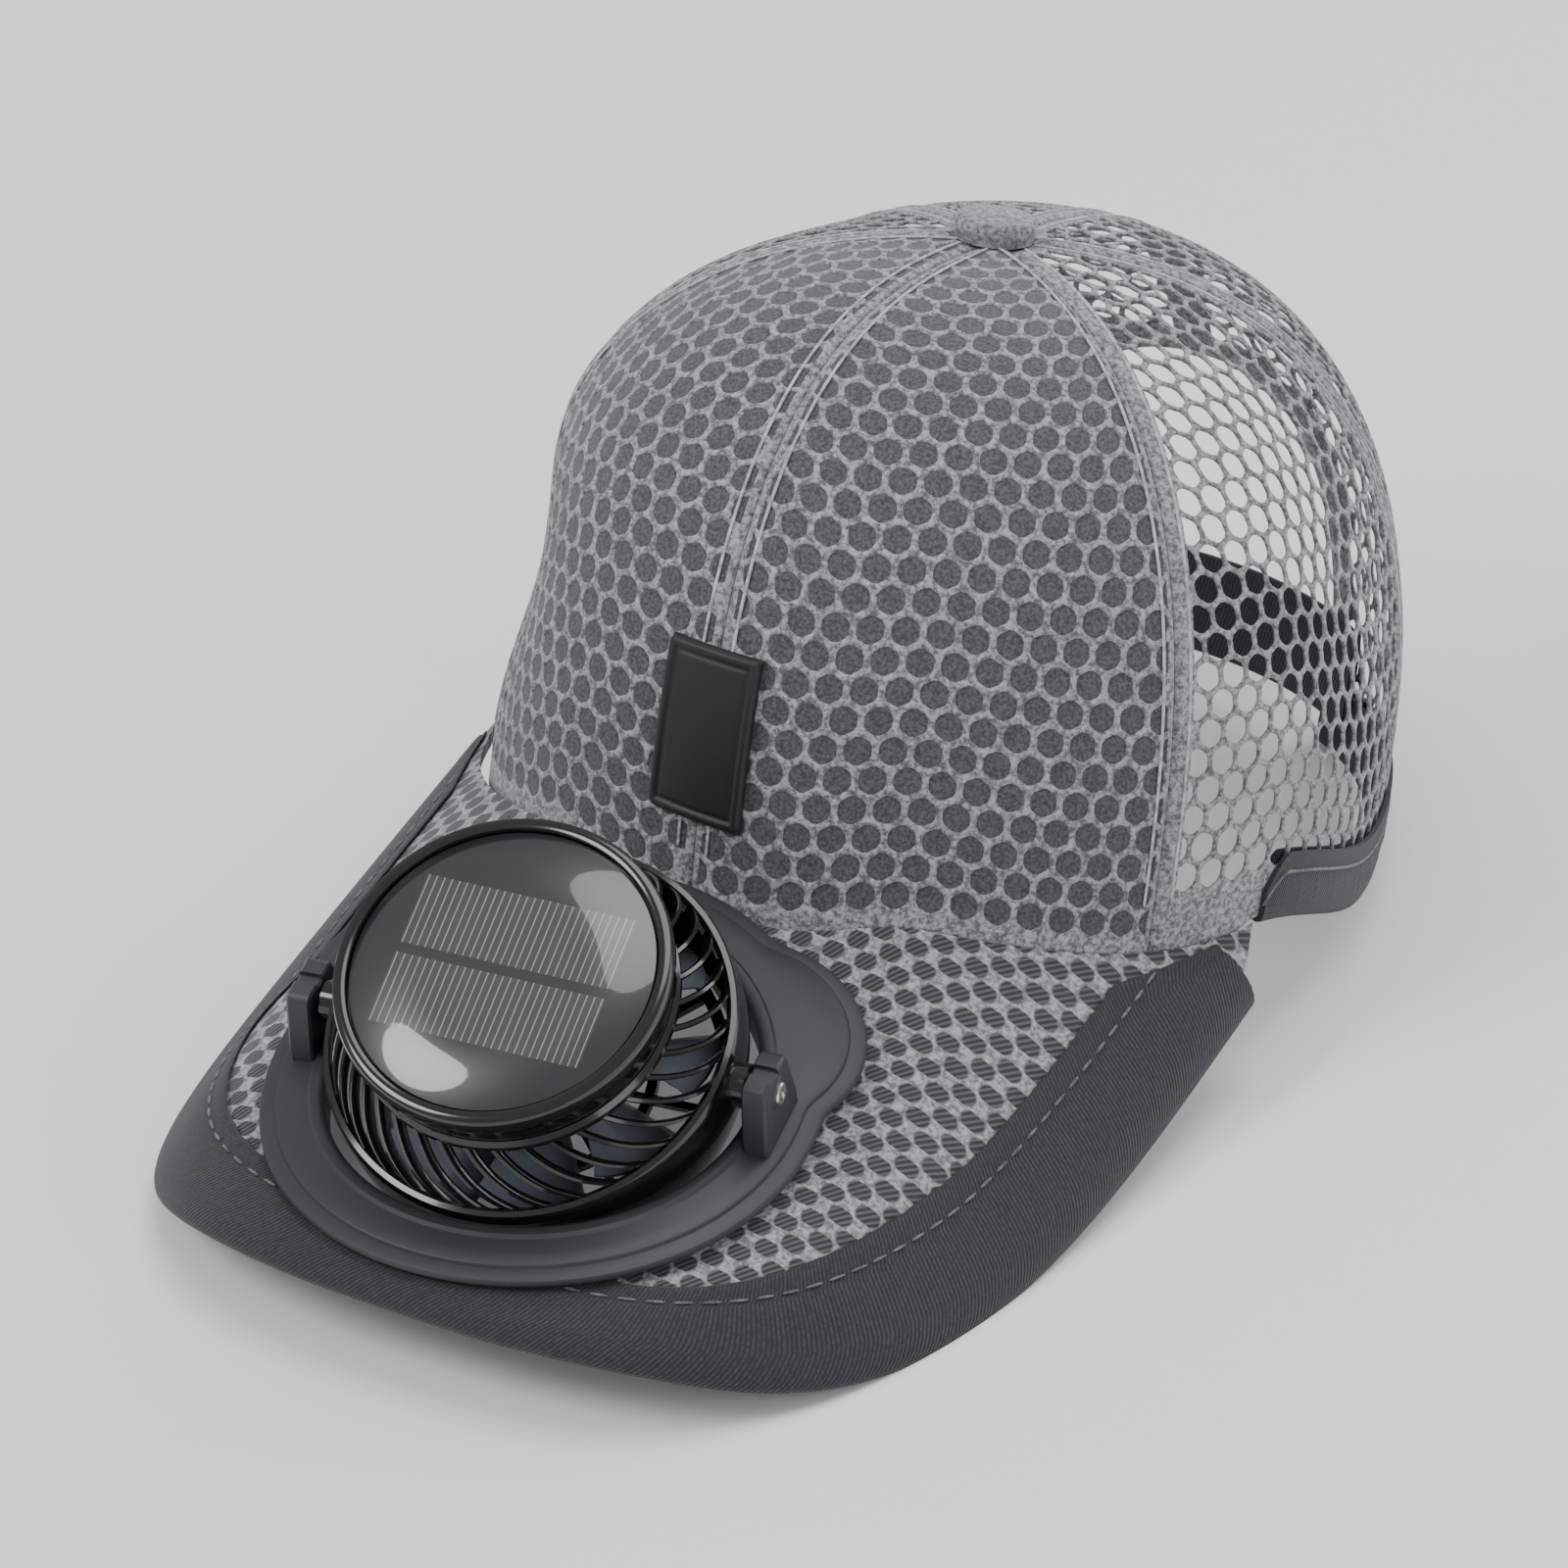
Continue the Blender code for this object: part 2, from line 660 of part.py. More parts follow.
def wall_line(angle, side):
    """The flat-sided wall's lowest stretch at an angle: its foot and the point above."""
    angles = column_angles()
    for low, high in zip(angles, angles[1:]):
        if angle <= high + 0.001:
            break
    share = (angle - low) / (high - low)
    ends = []
    for turn in (radians(low) * side, radians(high) * side):
        foot = crown_outer(turn, 0.0)
        foot.z -= wall_drop(turn)
        ends.append((foot, crown_outer(turn, top_rise(turn) * NET_FOOT_SHARE)))
    return ends[0][0].lerp(ends[1][0], share), ends[0][1].lerp(ends[1][1], share)


def make_rim_binding(name, side, place):
    """Tape over the crown's rim, from the peak's corner to the back opening."""
    stop = 179.0
    while abs(wall_line(stop, side)[0].x) < ARCH_HALF_WIDTH + 0.0008:
        stop -= 0.25
    first = RIM_CORNER_ANGLE + 3.0
    angles = [first, first + 2.0, first + 4.0] + [a for a in column_angles() if first + 5 < a < stop - 1] + [stop]
    tape, gap, wall = BINDING_THICKNESS, GAP, NET_WALL
    down = Vector((0, 0, -1))
    sections = []
    for k, angle in enumerate(angles):
        foot, above = wall_line(angle, side)
        height = RIM_BINDING_HEIGHT * smooth(0.35 + k / 3)
        top = foot.lerp(above, height / (above.z - foot.z))
        normal = crown_normal(radians(angle) * side, 0.03)
        flat = Vector((normal.x, normal.y, 0)).normalized()
        section = [top + flat * gap, top + flat * (gap + tape), foot + flat * (gap + tape),
                   foot + flat * (gap + tape) + down * (gap + tape),
                   foot - flat * (wall + gap + tape) + down * (gap + tape),
                   top - flat * (wall + gap + tape), top - flat * (wall + gap),
                   foot - flat * (wall + gap) + down * gap, foot + flat * gap + down * gap]
        sections.append(section)
    points, faces = loft(sections)
    return make_object(name, points, faces, "dark_tape", place)


def make_strap(place):
    """A band across the back opening, inside the crown's wall."""
    find = back_surface()
    low = rim_height(pi) + STRAP_RISE + BINDING_THICKNESS
    half = ARCH_HALF_WIDTH + STRAP_OVERLAP
    inner = NET_WALL + BINDING_THICKNESS + 2 * GAP
    sections = []
    count = 15
    for k in range(count):
        x = mix(-half, half, k / (count - 1))
        section = []
        high = low + STRAP_WIDTH
        for z, out in ((low, 0), (high, 0), (high, 1), (low, 1)):
            point, normal = find(x, z)
            section.append(point - normal * (inner + STRAP_THICKNESS * out))
        sections.append(section)
    points, faces = loft(sections)
    return make_object("back_strap", points, faces, "dark_tape", place)


def make_patch(place):
    """A flat-backed patch wrapped on the front seam."""
    foot = radians(PATCH_FOOT_RISE)
    rises = [foot]
    length = 0.0
    while length < PATCH_HEIGHT:
        step = crown_outer(0, rises[-1] + 0.01) - crown_outer(0, rises[-1])
        if length + step.length > PATCH_HEIGHT:
            rises.append(rises[-1] + 0.01 * (PATCH_HEIGHT - length) / step.length)
            break
        length += step.length
        rises.append(rises[-1] + 0.01)
    picked = [rises[0], rises[len(rises) // 4], rises[len(rises) // 2],
              rises[3 * len(rises) // 4], rises[-1]]
    sections = []
    for rise in picked:
        reach = -crown_outer(0, rise).y + CROWN_TOP_SHIFT
        half = asin(PATCH_WIDTH / 2 / reach)
        row = [half * share for share in (-1, -0.5, 0, 0.5, 1)]
        outer = [crown_outer(a, rise, GAP + PATCH_THICKNESS) for a in row]
        inner = [crown_outer(a, rise, GAP + 0.0001) for a in row]
        sections.append(outer + inner[::-1])
    points, faces = loft(sections)
    return make_object("front_patch", points, faces, "dark_patch", place)


def make_button(place):
    top = CROWN_HEIGHT
    foot = top + GAP + 0.0004
    profile = [(0, top - 0.0060), (BUTTON_STEM_RADIUS, top - 0.0060), (BUTTON_STEM_RADIUS, foot)]
    profile += [(BUTTON_RADIUS * 0.96, foot - 0.0001)]
    for k in range(1, 5):
        turn = radians(90 * k / 5)
        profile.append((BUTTON_RADIUS * cos(turn), foot + 0.0008 + (BUTTON_HEIGHT - 0.0008) * sin(turn)))
    profile.append((0, foot + BUTTON_HEIGHT))
    points, faces = turned_solid(profile, 20)
    points = [(x, y + CROWN_TOP_SHIFT, z) for x, y, z in points]
    return make_object("crown_button", points, faces, "front_cloth", place)


def plate_reach(turn):
    """The plate's outline: a disc with a lobe on either side, towards the crown."""
    reach = PLATE_RADIUS
    for side in (1, -1):
        cx, cy = LOBE_OUT * side, LOBE_BACK
        ahead = cx * cos(turn) + cy * sin(turn)
        across = cx * sin(turn) - cy * cos(turn)
        if abs(across) < LOBE_RADIUS:
            reach = max(reach, ahead + sqrt(LOBE_RADIUS ** 2 - across ** 2))
    return reach


def make_plate(place, pivot_place):
    columns = 48
    sections = []
    for k in range(columns):
        turn = 2 * pi * k / columns
        out = plate_reach(turn)
        rows = [(PLATE_HOLE_RADIUS, 0.0), (out - PLATE_LIP_WIDTH, 0.0),
                (out - PLATE_LIP_WIDTH + 0.0008, -PLATE_LIP_STEP), (out - 0.0004, -PLATE_LIP_STEP - 0.0001),
                (out, -PLATE_LIP_STEP - 0.0006), (out, -PLATE_THICKNESS),
                (PLATE_HOLE_RADIUS + COLLAR_WALL, -PLATE_THICKNESS),
                (PLATE_HOLE_RADIUS + COLLAR_WALL, -COLLAR_DEPTH), (PLATE_HOLE_RADIUS, -COLLAR_DEPTH)]
        section = []
        for radius, height in rows:
            x, y = radius * cos(turn), radius * sin(turn)
            bend = plate_height(x) if height > -COLLAR_DEPTH else 0.0
            section.append((x, y, height + bend))
        sections.append(section)
    points, faces = loft(sections, ring=True)
    plate = make_object("fan_plate", points, faces, "matte_plastic", place)
    inner = HOUSING_RADIUS + 0.0034
    for side in (1, -1):
        sections = []
        for u in (inner, inner + LUG_THICKNESS):
            base = plate_height(u) - PLATE_THICKNESS * 0.6
            top = PIVOT_HEIGHT + LUG_ABOVE_PIVOT
            outline = [(-LUG_BASE_WIDTH / 2, base), (LUG_BASE_WIDTH / 2, base),
                       (LUG_BASE_WIDTH / 2, base + 0.0030), (LUG_TOP_WIDTH / 2, top - 0.0008),
                       (LUG_TOP_WIDTH / 2 - 0.0012, top), (-LUG_TOP_WIDTH / 2 + 0.0012, top),
                       (-LUG_TOP_WIDTH / 2, top - 0.0008), (-LUG_BASE_WIDTH / 2, base + 0.0030)]
            sections.append([(u * side, v, w) for v, w in outline])
        points, faces = loft(sections)
        lug = make_object("lug", points, faces, "matte_plastic", pivot_place)
        combine(plate, lug, "UNION")
        hole = rod(SCREW_RADIUS + GAP, inner - 0.004, inner + LUG_THICKNESS + 0.004, side, pivot_place)
        combine(plate, hole, "DIFFERENCE")
    return plate


def rod(radius, start, end, side, place, columns=12, lift=PIVOT_HEIGHT):
    """A round bar along the hinge axis."""
    sections = []
    for u in (start, end):
        sections.append([(u * side, radius * cos(2 * pi * k / columns),
                          lift + radius * sin(2 * pi * k / columns)) for k in range(columns)])
    points, faces = loft(sections)
    return make_object("rod", points, faces, "gloss_plastic", place)


def sphere_radius(height, radius):
    return sqrt(max(radius * radius - height * height, 0))


def make_housing(place, origin):
    """A ball-shaped shell with swirled louvres cut through its upper band."""
    columns = 2 * RIB_COUNT
    outer, wall = HOUSING_RADIUS, HOUSING_WALL
    band_low = (outer - 0.0012, 0.0052)
    band_high = (HEAD_WALL_RADIUS + 0.0004, HEAD_FOOT - 0.0008)
    foot = -HOUSING_FOOT
    rows = [dict(spot=(HEAD_WALL_RADIUS - 0.0040, band_high[1] - 0.0018), open=False)]
    rows.append(dict(spot=(HEAD_WALL_RADIUS - 0.0040, band_high[1]), open=False))
    steps = 2
    for k in range(steps + 1):
        share = k / steps
        radius = mix(band_high[0], band_low[0], share) + 0.0016 * sin(pi * share)
        rows.append(dict(spot=(radius, mix(band_high[1], band_low[1], share)), open=0 < k <= steps,
                         turn=RIB_SWIRL * share))
    rows.append(dict(spot=(sphere_radius(0.0035, outer), 0.0035), open=False))
    rows.append(dict(spot=(sphere_radius(-0.006, outer), -0.006), open=False))
    rows.append(dict(spot=(sphere_radius(foot, outer), foot), open=False))
    rows.append(dict(spot=(sphere_radius(foot, outer) - wall, foot), open=False))
    rows.append(dict(spot=(sphere_radius(-0.006, outer) - wall, -0.006), open=False))
    rows.append(dict(spot=(sphere_radius(0.002, outer) - wall, 0.002), open=False))
    for k in range(steps, -1, -1):
        share = k / steps
        radius = mix(band_high[0], band_low[0], share) + 0.0016 * sin(pi * share) - 0.0012
        height = mix(band_high[1], band_low[1], share) - 0.0016
        rows.append(dict(spot=(radius, height), open=k < steps, turn=RIB_SWIRL * share))
    size = len(rows)
    first_outer, last_outer = 2, 2 + steps
    first_inner, last_inner = size - 1 - steps, size - 1
    points = []
    for c in range(columns):
        rib, half = divmod(c, 2)
        base = 360 * (rib + (RIB_SHARE if half else 0)) / RIB_COUNT
        for row in rows:
            radius, height = row["spot"]
            turn = radians(base + row.get("turn", 0 if height > 0.016 else RIB_SWIRL))
            points.append((radius * cos(turn), radius * sin(turn), height))
    faces = []
    for c in range(columns):
        after = (c + 1) % columns
        gap = c % 2 == 1
        for k in range(size):
            m = (k + 1) % size
            outer_band = first_outer <= k < last_outer
            inner_band = first_inner <= k < last_inner
            if gap and (outer_band or inner_band):
                continue
            faces.append((c * size + k, c * size + m, after * size + m, after * size + k))
        if gap:
            ends = [(first_outer, last_inner), (last_outer, first_inner)]
            for o, i in ends:
                faces.append((c * size + o, after * size + o, after * size + i, c * size + i))
            for col in (c, after):
                for step in range(steps):
                    o1, o2 = first_outer + step, first_outer + step + 1
                    i1, i2 = last_inner - step, last_inner - step - 1
                    faces.append((col * size + o1, col * size + o2, col * size + i2, col * size + i1))
    housing = make_object("fan_housing", points, faces, "gloss_plastic", place, origin)
    inner = HOUSING_RADIUS + 0.0034 - GAP
    for side in (1, -1):
        boss = rod(BOSS_RADIUS, HOUSING_RADIUS - 0.0022, inner, side, place, 16, 0.0)
        combine(housing, boss, "UNION")
        hole = rod(SCREW_RADIUS + GAP, HOUSING_RADIUS - 0.0005, inner + 0.004, side, place, 12, 0.0)
        combine(housing, hole, "DIFFERENCE")
    return housing


def make_screw(name, side, place):
    """A screw through a lug into the housing's boss."""
    outer = HOUSING_RADIUS + 0.0034 + LUG_THICKNESS
    tip = HOUSING_RADIUS - 0.0005 + 0.0004
    profile = [(tip, 0), (tip, SCREW_RADIUS), (outer + GAP * 0.5, SCREW_RADIUS),
               (outer + GAP * 0.5, SCREW_HEAD_RADIUS), (outer + SCREW_HEAD_HEIGHT, SCREW_HEAD_RADIUS * 0.85),
               (outer + SCREW_HEAD_HEIGHT, 0)]
    points, faces = turned_solid([(r, u) for u, r in profile], 12)
    points = [(z * side, x, y + PIVOT_HEIGHT) for x, y, z in points]
    return make_object(name, points, faces, "screw_steel", place)


def make_head(place):
    """The drum with its raised lip, and the motor below it."""
    floor = HEAD_TOP - PANEL_RECESS - PANEL_THICKNESS - GAP
    pocket = PANEL_RADIUS + GAP
    seat = HEAD_FOOT - 0.0008 + GAP
    plug = HEAD_WALL_RADIUS - 0.0040 - GAP
    profile = [(0, HUB_TOP - 0.0040), (SHAFT_RADIUS, HUB_TOP - 0.0040), (SHAFT_RADIUS, MOTOR_FOOT),
               (MOTOR_RADIUS, MOTOR_FOOT), (MOTOR_RADIUS, seat - 0.0030), (plug, seat - 0.0020), (plug, seat),
               (HEAD_WALL_RADIUS, seat), (HEAD_WALL_RADIUS, HEAD_TOP - HEAD_LIP - 0.0008),
               (HEAD_RADIUS, HEAD_TOP - HEAD_LIP), (HEAD_RADIUS, HEAD_TOP - 0.0008),
               (HEAD_RADIUS - 0.0009, HEAD_TOP), (pocket + 0.0003, HEAD_TOP), (pocket, HEAD_TOP - 0.0003),
               (pocket, floor), (0, floor)]
    points, faces = turned_solid(profile, 36)
    return make_object("solar_head", points, faces, "gloss_plastic", place)


def make_solar_panel(place):
    top = HEAD_TOP - PANEL_RECESS
    profile = [(0, top - PANEL_THICKNESS), (PANEL_RADIUS, top - PANEL_THICKNESS), (PANEL_RADIUS, top), (0, top)]
    points, faces = turned_solid(profile, 36)
    return make_object("solar_panel", points, faces, "solar_cells", place)


def make_impeller(place, origin):
    """A hub on the motor's shaft, with swept blades."""
    top, foot = HUB_TOP, HUB_FOOT
    bore = SHAFT_RADIUS + GAP
    profile = [(bore, top), (HUB_RADIUS - 0.001, top), (HUB_RADIUS, top - 0.001), (HUB_RADIUS, foot + 0.001),
               (HUB_RADIUS - 0.001, foot), (bore, foot)]
    points, faces = turned(profile, 24)
    hub = make_object("impeller", points, faces, "blade_plastic", place, origin)
    blades = None
    stations = [0.0, 0.5, 1.0]
    for b in range(BLADE_COUNT):
        base = 360 * b / BLADE_COUNT
        sections = []
        for share in stations:
            radius = mix(HUB_RADIUS - 0.0015, BLADE_RADIUS, share)
            span = BLADE_SPAN * mix(0.80, 1.0, share)
            lead = base - 10 * share
            row_top, row_low = [], []
            for edge in (0.0, 0.33, 0.67, 1.0):
                turn = radians(lead + span * edge)
                bow = 0.0012 * sin(pi * edge)
                height = mix(BLADE_TOP, BLADE_FOOT, edge) * mix(0.9, 1.0, share) + bow
                row_top.append((radius * cos(turn), radius * sin(turn), height))
                row_low.append((radius * cos(turn), radius * sin(turn), height - BLADE_THICKNESS))
            sections.append(row_top + row_low[::-1])
        points, faces = loft(sections)
        blade = make_object("blade", points, faces, "blade_plastic", place)
        if blades is None:
            blades = blade
        else:
            join(blades, blade)
    combine(hub, blades, "UNION")
    return hub


def join(target, other):
    """Put two separate shells into one mesh, in world space."""
    work = bmesh.new()
    for piece in (target, other):
        copy = piece.data.copy()
        copy.transform(piece.matrix_basis)
        work.from_mesh(copy)
        bpy.data.meshes.remove(copy)
    work.to_mesh(target.data)
    work.free()
    target.location = (0, 0, 0)
    bpy.data.objects.remove(other)


def make_guard(place):
    """An open grille that closes the housing's foot below the blades."""
    rim = sphere_radius(-HOUSING_FOOT, HOUSING_RADIUS) - HOUSING_WALL - GAP
    top = -HOUSING_FOOT + GUARD_THICKNESS + 0.0006
    low = top - GUARD_THICKNESS
    radii = [0.0060, 0.0180, rim - 0.0022]
    columns = 2 * GUARD_BARS
    share = 0.30
    levels = [radii[0], radii[1] - 0.0009, radii[1] + 0.0009, radii[2], rim]
    points, faces = [], []
    for c in range(columns):
        bar, half = divmod(c, 2)
        turn = 2 * pi * (bar + (share if half else 0)) / GUARD_BARS
        for radius in levels:
            spread = turn
            if half:
                spread = 2 * pi * (bar + share * radii[1] / max(radius, radii[1] * 0.6)) / GUARD_BARS
            points += [(radius * cos(spread), radius * sin(spread), z) for z in (top, low)]
    size = len(levels) * 2
    points_hub = len(points)
    points += [(0, 0, top), (0, 0, low)]
    for c in range(columns):
        after = (c + 1) % columns
        a, b = c * size, after * size
        gap = c % 2 == 1
        faces.append((points_hub, a, b))
        faces.append((points_hub + 1, b + 1, a + 1))
        for k in range(len(levels) - 1):
            if gap and k in (0, 2):
                continue
            faces.append((a + 2 * k, a + 2 * k + 2, b + 2 * k + 2, b + 2 * k))
            faces.append((a + 2 * k + 1, b + 2 * k + 1, b + 2 * k + 3, a + 2 * k + 3))
        last = 2 * (len(levels) - 1)
        faces.append((a + last, a + last + 1, b + last + 1, b + last))
        if gap:
            for k in range(len(levels)):
                if k in (0, 1, 2, 3):
                    faces.append((a + 2 * k, b + 2 * k, b + 2 * k + 1, a + 2 * k + 1))
            for start in (0, 2):
                for col in (a, b):
                    faces.append((col + 2 * start, col + 2 * start + 2, col + 2 * start + 3, col + 2 * start + 1))
    return make_object("fan_guard", points, faces, "gloss_plastic", place)


def standing_place():
    """Tip and lift the cap so that the peak's corners and the rear rim touch the floor."""
    lowest = BINDING_THICKNESS + GAP
    front = [peak_top(x, a, -PEAK_THICKNESS - lowest) for x, a in peak_edge(121)]
    angles = [radians(100 + 80 * k / 60) for k in range(61)]
    back = []
    for angle in angles:
        point = crown_outer(angle, 0.0)
        if abs(point.x) > ARCH_HALF_WIDTH:
            back.append(point - Vector((0, 0, lowest)))
    low, high = -5.0, 30.0
    for _ in range(50):
        middle = (low + high) / 2
        turn = Matrix.Rotation(radians(-middle), 4, "X")
        if min((turn @ p).z for p in front) < min((turn @ p).z for p in back):
            low = middle
        else:
            high = middle
    turn = Matrix.Rotation(radians(-low), 4, "X")
    floor = min((turn @ p).z for p in front + back)
    return Matrix.Translation((0, 0, -floor)) @ turn


def plate_place(stand):
    """The plate's frame: x across, y towards the crown, z off its top face."""
    middle = peak_frame(0.0, PLATE_ALONG, -PLATE_SINK)
    lean = Matrix.Rotation(radians(PEAK_DROOP), 4, "X")
    roll = Matrix.Rotation(radians(PLATE_ROLL), 4, "Y")
    return stand @ Matrix.Translation(middle) @ lean @ roll


def build():
    for piece in list(bpy.data.objects):
        bpy.data.objects.remove(piece, do_unlink=True)
    RIM_CACHE.clear()
    stand = standing_place()
    rows = net_rows()
    side, rear = SIDE_SEAM_ANGLE, REAR_SEAM_ANGLE
    panel("front_panel_left", 0, side, 8, rows, FRONT_PANEL_WALL, "front_cloth", 0, stand)
    panel("front_panel_right", -side, 0, 8, rows, FRONT_PANEL_WALL, "front_cloth", 0, stand)
    panel("side_panel_left", side, rear, SIDE_NET_COLUMNS, rows, NET_WALL, "net_cloth", 1, stand)
    panel("side_panel_right", -rear, -side, SIDE_NET_COLUMNS, rows, NET_WALL, "net_cloth", 1, stand)
    for name, start, end in (("back_panel_left", rear, 180), ("back_panel_right", -180, -rear)):
        back = panel(name, start, end, BACK_NET_COLUMNS, rows, NET_WALL, "net_cloth", 1, stand)
        combine(back, arch_cutter(stand), "DIFFERENCE")
    make_button(stand)
    make_patch(stand)
    make_peak_binding(stand, make_peak(stand))
    make_rim_binding("rim_binding_left", 1, stand)
    make_rim_binding("rim_binding_right", -1, stand)
    make_strap(stand)

    plate = plate_place(stand)
    turned_plate = plate @ Matrix.Rotation(radians(PLATE_YAW), 4, "Z")
    fan = turned_plate @ Matrix.Translation((0, 0, PIVOT_HEIGHT)) @ Matrix.Rotation(radians(FAN_TILT), 4, "X")
    centre = Vector((0, 0, 0))
    make_plate(turned_plate, turned_plate)
    make_housing(fan, centre)
    make_head(fan)
    make_solar_panel(fan)
    make_guard(fan)
    make_impeller(fan, centre)
    make_screw("pivot_screw_left", 1, turned_plate)
    make_screw("pivot_screw_right", -1, turned_plate)
    pieces = list(bpy.context.scene.objects)
    bpy.context.view_layer.update()
    corners = [piece.matrix_world @ v.co for piece in pieces for v in piece.data.vertices]
    ends = [p.y for p in corners]
    middle = Vector((0, (min(ends) + max(ends)) / 2, min(p.z for p in corners)))
    for piece in pieces:
        piece.location -= middle        # the origin is on the floor, below the cap's middle
        if piece.type == "MESH":
            piece.data.shade_smooth()
            piece.data.set_sharp_from_angle(angle=radians(40))


build()
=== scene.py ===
from math import asin, atan2, cos, hypot, pi, radians, sin, sqrt

import bmesh
import bpy
import numpy as np
from mathutils import Matrix, Vector, noise
from mathutils.geometry import delaunay_2d_cdt


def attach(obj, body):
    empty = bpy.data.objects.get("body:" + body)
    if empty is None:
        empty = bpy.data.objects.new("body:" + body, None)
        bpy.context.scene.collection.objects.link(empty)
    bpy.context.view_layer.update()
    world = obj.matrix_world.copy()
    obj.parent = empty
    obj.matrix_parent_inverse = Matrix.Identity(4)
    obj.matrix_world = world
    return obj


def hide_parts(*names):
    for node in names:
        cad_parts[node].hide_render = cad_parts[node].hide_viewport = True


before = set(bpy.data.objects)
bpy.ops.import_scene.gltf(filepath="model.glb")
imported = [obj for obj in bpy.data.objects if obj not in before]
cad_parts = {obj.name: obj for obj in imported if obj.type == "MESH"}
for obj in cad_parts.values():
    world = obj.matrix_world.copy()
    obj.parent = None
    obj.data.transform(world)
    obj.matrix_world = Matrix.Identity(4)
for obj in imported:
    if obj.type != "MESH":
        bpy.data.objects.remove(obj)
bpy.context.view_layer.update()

# The crown and peak are laid out as in the solids, worn level, then tipped to stand.
standing = dict(tilt=12.2268, lift=0.018101, shift=0.037284)
stand = (Matrix.Translation((0, standing["shift"], standing["lift"]))
         @ Matrix.Rotation(radians(-standing["tilt"]), 4, "X"))
standArray = np.array(stand)

crown = dict(halfWidth=0.0818, frontReach=0.0865, backReach=0.1034, height=0.111, topShift=0.0045,
             basePower=1.98, sideSeam=59.0, rearSeam=125.5, rimCorner=76.0, topHole=0.0022)
meridians = [dict(widthPower=0.65, heightPower=0.77, bulge=0.03),
             dict(widthPower=0.87, heightPower=0.85, bulge=0.07),
             dict(widthPower=0.67, heightPower=0.94, bulge=0.08)]
rimHeights = [dict(angle=110.0, share=-0.029), dict(angle=145.0, share=0.022), dict(angle=180.0, share=0.020)]
dents = [dict(angle=-70.0, spread=35.0, rise=18.0, riseSpread=14.0, depthShare=0.12),
         dict(angle=100.0, spread=16.0, rise=28.0, riseSpread=12.0, depthShare=0.02)]
peak = dict(droop=26.0, archRadius=0.108, rootHeight=0.0118, length=0.1036, halfWidth=0.094,
            sideReturn=0.0475, sidePower=2.67, frontPower=3.53, thickness=0.0032)
plate = dict(along=0.0522, radius=0.050, thickness=0.0024, archRadius=0.250, sink=0.0005, lipWidth=0.0030,
             lipStep=0.0008, yaw=9.0, roll=2.5, lobeRadius=0.0230, lobeOut=0.0290, lobeBack=0.0180,
             collarWall=0.0016, collarDepth=0.0085, holeRadius=0.0380, restZone=0.0510, blendZone=0.0240)
fan = dict(pivotHeight=0.0050, tilt=16.5, ballRadius=0.0370)
clearance = 0.0003


def clamp(value, low=0.0, high=1.0):
    return max(low, min(high, value))


def smooth(value):
    value = clamp(value)
    return value * value * (3 - 2 * value)


def mix(a, b, share):
    return a + (b - a) * share


def toStand(points):
    # Cap-frame points as an array in the standing frame.
    points = np.asarray(points, float)
    return points @ standArray[:3, :3].T + standArray[:3, 3]


# Surfaces

def archHeight(x):
    x = clamp(abs(x), 0, peak["archRadius"] * 0.985)
    return sqrt(peak["archRadius"] ** 2 - x * x) - peak["archRadius"]


def plateHeight(x):
    return -x * x / (2 * plate["archRadius"])


def peakHeight(x, along):
    yaw = radians(plate["yaw"])
    across = x * cos(yaw) + (plate["along"] - along) * sin(yaw)
    under = plateHeight(across) - plate["sink"] - plate["thickness"] - 0.0009 - 4.5 * clearance
    roll = -x * sin(radians(plate["roll"]))
    away = hypot(x, along - plate["along"])
    share = 1 - smooth((away - plate["restZone"]) / plate["blendZone"])
    return mix(archHeight(x), under + roll, share)


def peakTop(x, along, lift=0.0):
    droop = radians(peak["droop"])
    height = peakHeight(x, along)
    return Vector((x, -crown["frontReach"] - along * cos(droop) - height * sin(droop),
                   peak["rootHeight"] - along * sin(droop) + height * cos(droop) + lift))


def peakAlong(x, y):
    droop = radians(peak["droop"])
    along = 0.0
    for _ in range(12):
        along = -(y + crown["frontReach"] + peakHeight(x, along) * sin(droop)) / cos(droop)
    return along


def baseReach(angle):
    reach = np.where(np.cos(angle) > 0, crown["frontReach"], crown["backReach"])
    side = (np.abs(np.sin(angle)) / crown["halfWidth"]) ** crown["basePower"]
    ahead = (np.abs(np.cos(angle)) / reach) ** crown["basePower"]
    return (side + ahead) ** (-1 / crown["basePower"])


def rimHeight(away):
    # Height of the rim at an angle from the front, in degrees.
    def besidePeak(turn):
        reach = float(baseReach(radians(turn)))
        x, y = reach * sin(radians(turn)), -reach * cos(radians(turn))
        return peakTop(x, peakAlong(x, y)).z
    if away <= crown["rimCorner"]:
        return besidePeak(away)
    rows = [dict(angle=crown["rimCorner"], height=besidePeak(crown["rimCorner"]))]
    rows += [dict(angle=row["angle"], height=row["share"] * crown["height"]) for row in rimHeights]
    for low, high in zip(rows, rows[1:]):
        if away <= high["angle"]:
            share = (away - low["angle"]) / (high["angle"] - low["angle"])
            return mix(low["height"], high["height"], smooth(share))
    return rows[-1]["height"]


